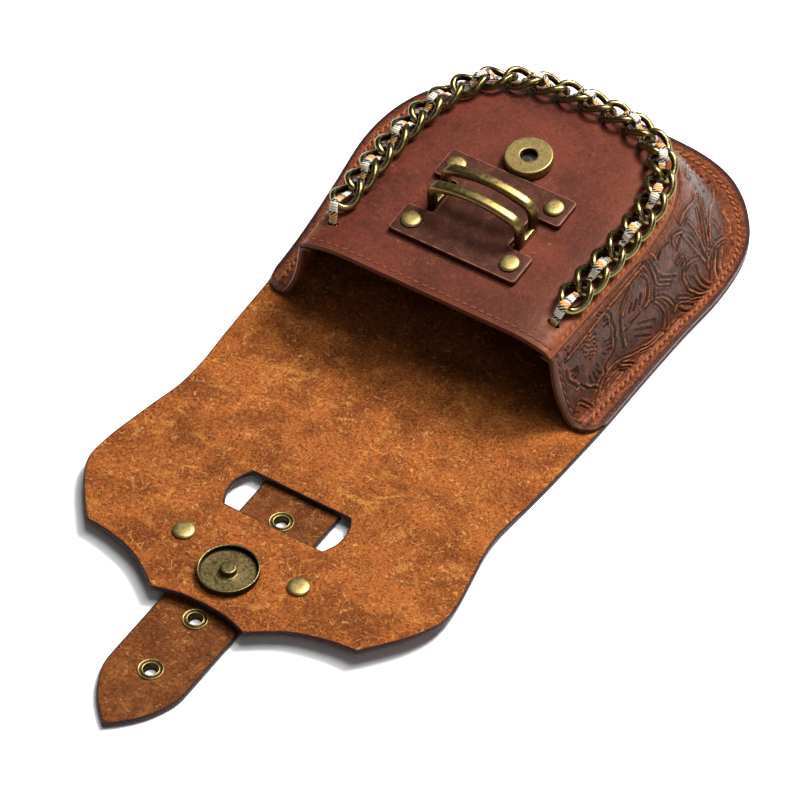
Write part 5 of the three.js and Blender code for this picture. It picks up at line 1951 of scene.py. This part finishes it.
@dataclass
class Patch:
    """The dark leather patch under the double loop, and its rivets."""

    shape: BagShape
    wide: float = 25.3
    neck: float = 15.0
    start: float = 15.4
    notch: tuple[float, float] = (28.4, 44.4)
    end: float = 57.4
    low: float = 0.3
    thick: float = 2.0
    corner: float = 1.6

    def outline(self) -> Array:
        """Draws the patch.

        Returns:
            Its edge in plan, with rounded corners.
        """
        right = [(self.wide, self.start), (self.wide, self.notch[0]), (self.neck, self.notch[0]),
                 (self.neck, self.notch[1]), (self.wide, self.notch[1]), (self.wide, self.end)]
        corners = np.array([*right, *[(-x, y) for x, y in reversed(right)]])
        rounded = []
        for before, corner, after in zip(np.roll(corners, 1, axis=0), corners, np.roll(corners, -1, axis=0)):
            a, b = (corner + self.corner * (other - corner) / np.linalg.norm(other - corner)
                    for other in (before, after))
            rounded += quadratic(a, corner, b, np.linspace(0, 1, 6))
        return np.array(rounded)

    def low_face(self, x: Array, y: Array) -> Array:
        """Height of its lower face over the front panel."""
        return self.low + 0 * x * y

    def build(self, leather: Material, metal: Material) -> None:
        """Makes the patch and its rivets.

        Args:
            leather: The patch's leather.
            metal: The rivets' brass.
        """
        rivets = [(x, y) for y in self.shape.rivet_y for x in (-self.shape.rivet_x, self.shape.rivet_x)]
        holes = [circle(x, y, RIVET_HOLE, 20) for x, y in rivets]
        sheet = CutLeather(self.outline(), raised(self.low_face, self.thick), self.low_face, holes,
                           spacing=1.8, edge_step=0.8, rounding=0.45)
        piece = give(sheet.build("front_patch_leather"), leather)
        finish_piece(settle(piece, self.shape.plate()), Slot.DARK, "front_patch")
        first = settle(rivet("rivet_head", 3.6, 2.6, -2.5))
        for i, (x, y) in enumerate(rivets):
            place = self.shape.plate() @ Matrix.Translation((x * MM, y * MM, 0))
            head = copied(first, f"patch_rivet_head_{i + 1}", place)
            finish_piece(give(head, metal), Slot.BRASS, f"patch_rivet_{i + 1}")
        bpy.data.objects.remove(first)


def rivet(name: str, head: float, stands_on: float, washer_top: float) -> Piece:
    """A domed rivet with its shank and washer.

    Args:
        name: The piece's name.
        head: Radius of its head.
        stands_on: Height of the head's underside.
        washer_top: Height of its washer's upper face.

    Returns:
        The piece, in its own axes.
    """
    plate, shank, washer = 0.8, 1.5, 3.2
    profile = [(washer, washer_top - plate), (washer, washer_top), (shank, washer_top), (shank, stands_on),
               *((head * share, stands_on + height) for share, height in RIVET_HEAD)]
    return turned(name, profile, 40, 0.08)


@dataclass
class DoubleLoop:
    """The brass double arch on the patch."""

    shape: BagShape
    width: float = 38.0
    height: float = 16.3
    shoulder: float = 13.2
    bar: float = 3.0
    bar_width: float = 4.3
    spacing: float = 8.9
    middle: float = 36.4
    foot_bar: float = 2.4
    rounding: float = 1.45

    def outline(self) -> tuple[Array, Array]:
        """Draws an arch in its own plane, from the right foot to the left one.

        Returns:
            Its outer line and its inner one.
        """
        outer, start = self.width / 2, self.shoulder * 0.52
        turn, crown = outer * 0.7, self.shoulder + 1.2
        inner, under = outer - self.bar, self.height - self.bar
        low = self.shoulder - self.bar + 0.4
        over = quadratic_run([(outer, 0), (outer, start)], [
            ((outer, self.shoulder), (turn, crown)),
            ((0, 2 * self.height - crown), (-turn, crown)),
            ((-outer, self.shoulder), (-outer, start))], (-outer, 0))
        below = quadratic_run([(inner, 0), (inner, start - 0.6)], [
            ((inner, low), (turn - 2, low + 0.6)),
            ((0, 2 * under - low - 0.6), (2 - turn, low + 0.6)),
            ((-inner, low), (-inner, start - 0.6))], (-inner, 0))
        return over, below

    def arch(self) -> Piece:
        """Makes one arch: its side drawn flat, pushed out to the bar's width, its edges rounded.

        Returns:
            The arch, in its own axes.
        """
        over, below = self.outline()
        count = len(over)
        flat = np.concatenate([over, below])
        points = np.column_stack([flat[:, 0], np.full(len(flat), -self.bar_width / 2), flat[:, 1]])
        faces = [(k, k + 1, count + k + 1, count + k) for k in range(count - 1)]
        piece = piece_from("arch", points, faces)
        bpy.ops.object.mode_set(mode="EDIT")
        bpy.ops.mesh.select_all(action="SELECT")
        bpy.ops.mesh.extrude_region_move(TRANSFORM_OT_translate={"value": (0, self.bar_width * MM, 0)})
        bpy.ops.mesh.select_all(action="SELECT")
        bpy.ops.mesh.normals_make_consistent(inside=False)
        bpy.ops.object.mode_set(mode="OBJECT")
        round_edges(piece, self.rounding, 50, 6)
        height = np.array([p.co.z for p in piece.data.vertices]) / MM
        # Painted shade: the legs are marked to be painted darker toward the feet, below the shoulders.
        point_values(piece, "inner", 0.75 * smooth((self.shoulder - 1 - height) / 5))
        return piece

    def build(self, metal: Material) -> None:
        """Makes the two arches and the bars that join their feet.

        Args:
            metal: Its brass.
        """
        arch = settle(self.arch())
        parts = [copied(arch, f"arch_{k}", Matrix.Translation((0, side * self.spacing / 2 * MM, 0)))
                 for k, side in enumerate((-1, 1))]
        bpy.data.objects.remove(arch)
        for side in (-1, 1):
            clear_selection()
            x = side * (self.width - self.bar) / 2 * MM
            bpy.ops.mesh.primitive_cube_add(size=MM, location=(x, 0, self.foot_bar / 2 * MM),
                                            scale=(self.bar - 0.3, self.spacing, self.foot_bar))
            foot = bpy.context.object
            bpy.ops.object.transform_apply(location=False, rotation=False, scale=True)
            round_edges(foot, 0.4)
            parts.append(settle(foot))
        clear_selection()
        for part in parts:
            part.select_set(True)
        bpy.context.view_layer.objects.active = parts[0]
        bpy.ops.object.join()
        loop = bpy.context.object
        loop.name = loop.data.name = "double_loop"
        place = self.shape.plate() @ Matrix.Translation((0, self.middle * MM, 0.3 * MM))
        finish_piece(give(settle(loop, place), metal), Slot.BRASS, "loop_bracket")


def quadratic(a: Array, corner: Array, b: Array, shares: Array) -> list[Array]:
    """Points at shares of a quadratic turn from a to b round a corner."""
    return [a * (1 - t) ** 2 + 2 * corner * t * (1 - t) + b * t * t for t in shares]


def quadratic_run(start: list, turns: list, end: tuple[float, float], steps: int = 14) -> Array:
    """Draws a line of straight and curved parts.

    Args:
        start: The points that it starts with.
        turns: Its turns, each as (corner, end).
        end: Its last point.
        steps: How many steps each turn has.

    Returns:
        The line's points.
    """
    points = [np.array(p, float) for p in start]
    for corner, goal in turns:
        shares = np.linspace(0, 1, steps + 1)[1:]
        points += quadratic(points[-1], np.array(corner, float), np.array(goal, float), shares)
    points.append(np.array(end, float))
    return np.array(points)


@dataclass
class Snap:
    """The magnetic snap, its disc on the front panel and its cup on the flap, and the flap's rivets."""

    shape: BagShape
    sides: int = 64
    gap: float = 0.3
    rivet_head: float = 3.9
    washer_top: float = 2.85

    def build_disc(self, metal: Material, steel: Material) -> None:
        """Makes the disc with its magnet.

        Args:
            metal: The disc's brass.
            steel: The magnet's steel.
        """
        disc = turned("snap_disc_metal", SNAP_DISC, self.sides, 0.08)
        # Painted shade: the disc's bore wall is marked to be painted dark.
        mark_painted_shade(disc, 0, 3.1, 3.65)
        place = self.shape.plate() @ Matrix.Translation((0, self.shape.snap_from_mouth * MM, 0))
        finish_piece(give(settle(disc, place), metal), Slot.BRASS, "snap_disc")
        magnet = turned("snap_magnet", SNAP_MAGNET, 40, 0.06)
        finish_piece(give(settle(magnet, place), steel), Slot.BRASS)

    def build_cup(self, bronze: Material, pale: Material) -> None:
        """Makes the cup and the flap's two rivets.

        Args:
            bronze: The cup's bronze.
            pale: The rivets' brass.
        """
        shape = self.shape
        flap_top = shape.flap_high + shape.back_thick
        cup = turned("snap_cup_metal", SNAP_CUP, self.sides, 0.08)
        # Painted shade with some patina: the cup's floor along its wall, the wall, the rim and the outer wall
        # are marked to be painted dark.
        mark_painted_shade(cup, 8.9, 11.0, 2.6)
        place = Matrix.Translation((0, -shape.cup_from_mouth * MM, flap_top * MM))
        finish_piece(give(settle(cup, place), bronze), Slot.BRASS, "snap_cup")
        first = settle(rivet("rivet_head", self.rivet_head, flap_top + self.gap, self.washer_top))
        for i, side in enumerate((-1, 1)):
            place = Matrix.Translation((side * shape.flap_rivet_x * MM, -shape.keeper_middle * MM, 0))
            head = copied(first, f"flap_rivet_head_{i + 1}", place)
            finish_piece(give(head, pale), Slot.BRASS, f"flap_rivet_{i + 1}")
        bpy.data.objects.remove(first)


@dataclass
class Chain:
    """The chain along the front panel's edge and the ribbon woven through it."""

    shape: BagShape
    inset: float = 6.4
    from_y: float = 21.3
    wished_pitch: float = 9.7
    wire: float = 2.5
    link_width: float = 11.7
    twist: float = math.radians(-45)
    lift: float = 3.9
    steps: int = 2400
    probe: float = 1.5
    hole_reach: float = 11.6
    hole: tuple[float, float] = (2.3, 1.0)
    ribbon_width: float = 3.2
    ribbon_narrow: float = 1.8
    ribbon_thick: float = 0.45
    over: float = 3.1
    under: float = 3.3

    def __post_init__(self) -> None:
        """Lays out the chain's path and pitch."""
        edge = self.shape.front_edge(44)
        ahead = np.gradient(edge, axis=0)
        ahead[0], ahead[-1] = edge[1] - edge[0], edge[-1] - edge[-2]
        ahead /= np.linalg.norm(ahead, axis=1)[:, None]
        inside = np.stack([edge[:, 0] - ahead[:, 1] * self.inset, edge[:, 1] + ahead[:, 0] * self.inset],
                          axis=1)
        self.path = spline(inside, self.steps)
        self.length = float(along(self.path)[-1])
        half = self.steps // 2
        rising, falling = self.path[:half, 1], self.path[half:, 1]
        self.start = float(np.argmax(rising > self.from_y)) / self.steps * self.length
        self.stop = (half + float(np.argmax(falling < self.from_y))) / self.steps * self.length
        self.count = 2 * round(((self.stop - self.start) / self.wished_pitch + 1) / 2)
        self.pitch = (self.stop - self.start) / (self.count - 1)

    def on_path(self, distance: float) -> Array:
        """The path's point at a distance from the first link."""
        place = np.clip((self.start + distance) / self.length, 0, 1) * self.steps
        return read_row(self.path, np.arange(self.steps + 1), place)

    def frame(self, distance: float) -> tuple[Array, Array, Array, Array]:
        """Finds the chain's axes.

        Args:
            distance: How far along it, from its first link.

        Returns:
            Its foot on the leather, and its ways ahead, aside and up.
        """
        at = self.on_path(distance)
        heading = self.on_path(distance + self.pitch / 2) - self.on_path(distance - self.pitch / 2)
        top, probe = self.shape.front_top, self.probe
        x, y = at[0] + np.array([probe, -probe, 0, 0]), at[1] + np.array([0, 0, probe, -probe])
        heights = top(x, y)
        up = np.array([(heights[1] - heights[0]) / (2 * probe), (heights[3] - heights[2]) / (2 * probe), 1.0])
        up /= np.linalg.norm(up)
        ahead = np.array([*heading, 0.0])
        ahead -= up * (ahead @ up)
        ahead /= np.linalg.norm(ahead)
        foot = np.array([*at, float(top(np.array([at[0]]), np.array([at[1]]))[0])])
        return foot, ahead, np.cross(up, ahead), up

    def link(self, material: Material) -> Piece:
        """Makes one twisted link.

        Args:
            material: Its brass.

        Returns:
            The link in its own axes, X along the chain and Z off the leather.
        """
        clear_selection()
        sides, turns = 12, 48
        bpy.ops.mesh.primitive_torus_add(major_segments=turns, minor_segments=sides, major_radius=1,
                                         minor_radius=0.25)
        piece = bpy.context.object
        piece.name = piece.data.name = "link"
        points = np.zeros(len(piece.data.vertices) * 3)
        piece.data.vertices.foreach_get("co", points)
        points = points.reshape(-1, 3)
        turn = np.arctan2(points[:, 1], points[:, 0])
        radius = np.hypot(points[:, 0], points[:, 1]) - 1
        tilt = np.arctan2(points[:, 2], radius)
        at, roll = self.link_middle(turn)
        ahead = self.link_middle(turn + 0.02)[0] - self.link_middle(turn - 0.02)[0]
        ahead /= np.linalg.norm(ahead, axis=1)[:, None]
        off = np.column_stack([0 * roll, -np.sin(roll), np.cos(roll)])
        off -= ahead * np.sum(off * ahead, axis=1)[:, None]
        off /= np.linalg.norm(off, axis=1)[:, None]
        outward = np.cross(ahead, off)
        wire = self.wire / 2
        spread = outward * (np.cos(tilt) * wire)[:, None] + off * (np.sin(tilt) * wire)[:, None]
        piece.data.vertices.foreach_set("co", ((at + spread) * MM).ravel())
        # Painted shade: the side of the wire that faces into the link, where the links cross, is marked to be
        # painted dark.
        point_values(piece, "inner", -np.cos(tilt))
        piece.data.update()
        make_active(piece)
        bpy.ops.object.shade_smooth()
        return give(piece, material)

    def link_middle(self, turn: Array) -> tuple[Array, Array]:
        """Follows the middle of a link's wire.

        Args:
            turn: Angles round the link.

        Returns:
            The wire's middle and the link's roll at each angle.
        """
        half_long, half_wide = (self.pitch + self.wire + 1) / 2, (self.link_width - self.wire) / 2
        forward, across = half_long * np.cos(turn), half_wide * np.sin(turn)
        roll = self.twist * forward / half_long
        return np.column_stack([forward, across * np.cos(roll), across * np.sin(roll)]), roll

    def place(self, distance: float) -> Matrix:
        """Finds where a link stands.

        Args:
            distance: How far along the chain, from its first link.

        Returns:
            Its place, in metres.
        """
        foot, ahead, side, up = self.frame(distance)
        at = (foot + up * self.lift) * MM
        rows = [[ahead[k], side[k], up[k], at[k]] for k in range(3)]
        return Matrix([*rows, [0, 0, 0, 1]])

    def holes(self) -> list[Array]:
        """Draws the ribbon's two holes in the front panel.

        Returns:
            Their edges, in plan.
        """
        found = []
        for distance in (-self.hole_reach, self.stop - self.start + self.hole_reach):
            foot, _, side, _ = self.frame(distance)
            turn = math.atan2(side[1], side[0])
            angle = np.linspace(0, 2 * math.pi, 28, endpoint=False)
            long, short = self.hole[0] * np.cos(angle), self.hole[1] * np.sin(angle)
            found.append(np.stack([foot[0] + long * math.cos(turn) - short * math.sin(turn),
                                   foot[1] + long * math.sin(turn) + short * math.cos(turn)], axis=1))
        return found

    def ribbon_run(self) -> list[tuple[float, float, float, float]]:
        """Lays the ribbon out along the chain.

        Returns:
            Its stations, each as its distance, height over the chain's middle, width and share of arch.
        """
        run = []
        for k in range(1, self.count):
            crossing = (k - 0.5) * self.pitch
            is_over = k % 2 == 0
            level, width = (self.over, self.ribbon_width) if is_over else (-self.under, self.ribbon_narrow)
            for share, height in CROSSING:
                here = width if abs(share) < 0.3 else 0.5 * (width + 2.2)
                run.append((crossing + share * self.pitch, level * height, here, float(is_over)))
        reach, deep = self.hole_reach, -self.lift
        tail = [(reach, deep - 4.4, 2.4, 0), (reach, deep - 2.2, 2.5, 0), (reach - 0.1, deep + 0.6, 2.8, 0),
                (reach - 1.2, deep + 2.2, 3.2, 0.5), (reach - 2.8, self.over - 1.4, 3.4, 1),
                (reach - 4.4, self.over - 0.2, 3.4, 1)]
        end = self.stop - self.start
        return [(-d, *rest) for d, *rest in tail] + run + [(end + d, *rest) for d, *rest in reversed(tail)]

    def ribbon(self, material: Material) -> None:
        """Makes the ribbon.

        Args:
            material: Its weave.
        """
        run = self.ribbon_run()
        across = np.linspace(-1, 1, 9)
        points, runs, sides = [], [], []
        length = 0.0
        for i, (distance, lift, width, arch) in enumerate(run):
            before, after = run[max(0, i - 1)], run[min(len(run) - 1, i + 1)]
            step, climb = after[0] - before[0], after[1] - before[1]
            reach = math.hypot(step, climb)
            if i:
                length += math.hypot(distance - run[i - 1][0], lift - run[i - 1][1])
            foot, ahead, side, up = self.frame(distance)
            through = (up * step - ahead * climb) / reach
            base = foot + up * (self.lift + lift)
            bow = 0.5 * arch * (1 - across**2) - 0.25 * arch
            for sign in (1, -1):
                for a, b in zip(across[::sign], bow[::sign]):
                    off = through * (b + sign * self.ribbon_thick / 2)
                    points.append(base + side * (a * width / 2) + off)
                    runs.append(length)
                    sides.append(a * width / 2)
        faces = tube_faces(len(run), 2 * len(across))
        values = {"run": np.array(runs), "across": np.array(sides)}
        piece = piece_from("ribbon_band", np.array(points), faces, values)
        finish_piece(give(piece, material), Slot.RIBBON, "ribbon")

    def build(self, metal: Material, weave: Material) -> None:
        """Makes the links and the ribbon.

        Args:
            metal: The links' brass.
            weave: The ribbon's weave.
        """
        first = self.link(metal)
        for k in range(self.count):
            link = copied(first, f"link_{k + 1:02d}", self.place(k * self.pitch))
            finish_piece(link, Slot.BRASS, f"chain_link_{k + 1:02d}")
        bpy.data.objects.remove(first)
        self.ribbon(weave)


# Studio


@dataclass(frozen=True)
class Camera:
    """The camera, at the place and with the lens that the bag was seen with."""

    place: tuple[float, float, float] = (0.507, -0.8065, 0.9958)
    rise: float = 46.77
    swing: float = 32.68
    lean: float = -0.14
    lens: float = 180.0
    sensor: float = 36.0
    near: float = 0.01

    def build(self) -> None:
        """Makes the camera and looks through it."""
        rise, swing, lean = (math.radians(angle) for angle in (self.rise, self.swing, self.lean))
        right = Vector((math.cos(swing), math.sin(swing), 0))
        down = Vector((math.sin(swing) * math.sin(rise), -math.cos(swing) * math.sin(rise), -math.cos(rise)))
        ahead = right.cross(down)
        level = right * math.cos(lean) + down * math.sin(lean)
        drop = down * math.cos(lean) - right * math.sin(lean)
        axes = Matrix((level, -drop, -ahead)).transposed().to_4x4()
        data = bpy.data.cameras.new("camera")
        data.sensor_width = self.sensor
        data.lens = self.lens
        data.clip_start = self.near
        eye = bpy.data.objects.new("camera", data)
        eye.matrix_world = Matrix.Translation(self.place) @ axes
        bpy.context.scene.collection.objects.link(eye)
        bpy.context.scene.camera = eye


@dataclass(frozen=True)
class SoftLight:
    """A square soft light that faces the bag."""

    name: str
    place: tuple[float, float, float]
    size: float
    power: float

    def build(self) -> None:
        """Makes the light."""
        data = bpy.data.lights.new(self.name, "AREA")
        data.size = self.size
        data.energy = self.power
        lamp = bpy.data.objects.new(self.name, data)
        lamp.location = self.place
        lamp.rotation_euler = (-Vector(self.place)).to_track_quat("-Z", "Y").to_euler()
        bpy.context.scene.collection.objects.link(lamp)


@dataclass(frozen=True)
class Studio:
    """A plain pale floor, an even surround and soft lights."""

    floor_size: float = 8.0
    surround: float = 0.06
    lights: tuple[SoftLight, ...] = (
        SoftLight("key", (0.36, 0.76, 1.25), 0.45, 37),
        SoftLight("overhead", (0.25, 0.25, 1.6), 0.8, 17),
        SoftLight("fill", (0.9, -0.6, 0.9), 0.8, 2),
    )

    def build(self) -> None:
        """Makes the floor, the surround and the lights."""
        clear_selection()
        bpy.ops.mesh.primitive_plane_add(size=self.floor_size, location=(0, 0, 0))
        floor = bpy.context.object
        floor.name = "floor"
        give(floor, Plain("floor_paper", "#F2F2F2").material())
        world = bpy.data.worlds.new("surround")
        world.use_nodes = True
        background = world.node_tree.nodes["Background"]
        background.inputs["Color"].default_value = (1, 1, 1, 1)
        background.inputs["Strength"].default_value = self.surround
        bpy.context.scene.world = world
        for light in self.lights:
            light.build()
        bpy.context.scene.view_settings.view_transform = "Standard"
        bpy.context.scene.view_settings.look = "None"


def main() -> None:
    """Builds the bag, piece by piece, in its studio."""
    logging.basicConfig(level=logging.INFO, format="%(message)s")
    shape = BagShape()
    antique = AntiqueBrass("antique_brass_wire", "#8A7A4C", "#22190C", 0.4, 0.06, (0.2, 0.34)).material()
    arch = AntiqueBrass("rubbed_brass", "#9A8450", "#2C1D0E", 0.3, 0.2, (0.3, 0.44)).material()
    gold = AntiqueBrass("grained_brass", "#927E50", "#5A4826", 0.2, 0.5, (0.42, 0.56), 0.4).material()
    bronze = AntiqueBrass("dark_bronze", "#84724A", "#1C140B", 0.35, 0.6, (0.36, 0.5), 0.45).material()
    pale = AntiqueBrass("rubbed_gilt", "#B29C62", "#665230", 0.15, 0.35, (0.4, 0.52)).material()
    steel = AntiqueBrass("grey_steel", "#6E6E6E", "#303030", 0.3, 0.4).material()
    # Painted shade: the needle holes are shallow lenses in a near-black colour.
    hole = Plain("stitch_hole_shade", "#140806").material()
    threads = (Thread("waxed_thread").material(), hole)
    coarse = (Thread("rough_thread", "#B4622B", "#5E2A12").material(), hole)
    strap_suede = Suede("strap_suede", "#713F20", "#4A2614", "#8E5C2E", "#A8703C").material()
    flap_suede = Suede("flap_suede", "#985325", "#6C3719", "#B87A3A", "#CC9050").material()
    chain = Chain(shape)
    BackPanel(shape).build(flap_suede)
    gusset = Gusset(shape)
    gusset.build(TooledLeather("tooled_leather").material())
    gusset.sew(threads, coarse)
    front = FrontPanel(shape)
    front.build(WaxedLeather("waxed_leather").material(), chain.holes())
    front.sew_mouth(threads)
    front.sew_seam(coarse)
    Patch(shape).build(DarkLeather("patch_leather").material(), pale)
    DoubleLoop(shape).build(arch)
    snap = Snap(shape)
    snap.build_disc(gold, steel)
    snap.build_cup(bronze, pale)
    Strap(shape).build(strap_suede, pale)
    Keeper(shape).build(DarkLeather("keeper_leather").material())
    chain.build(antique, RibbonWeave("ribbon_weave").material())
    Studio().build()
    Camera().build()


if __name__ == "__main__":
    main()
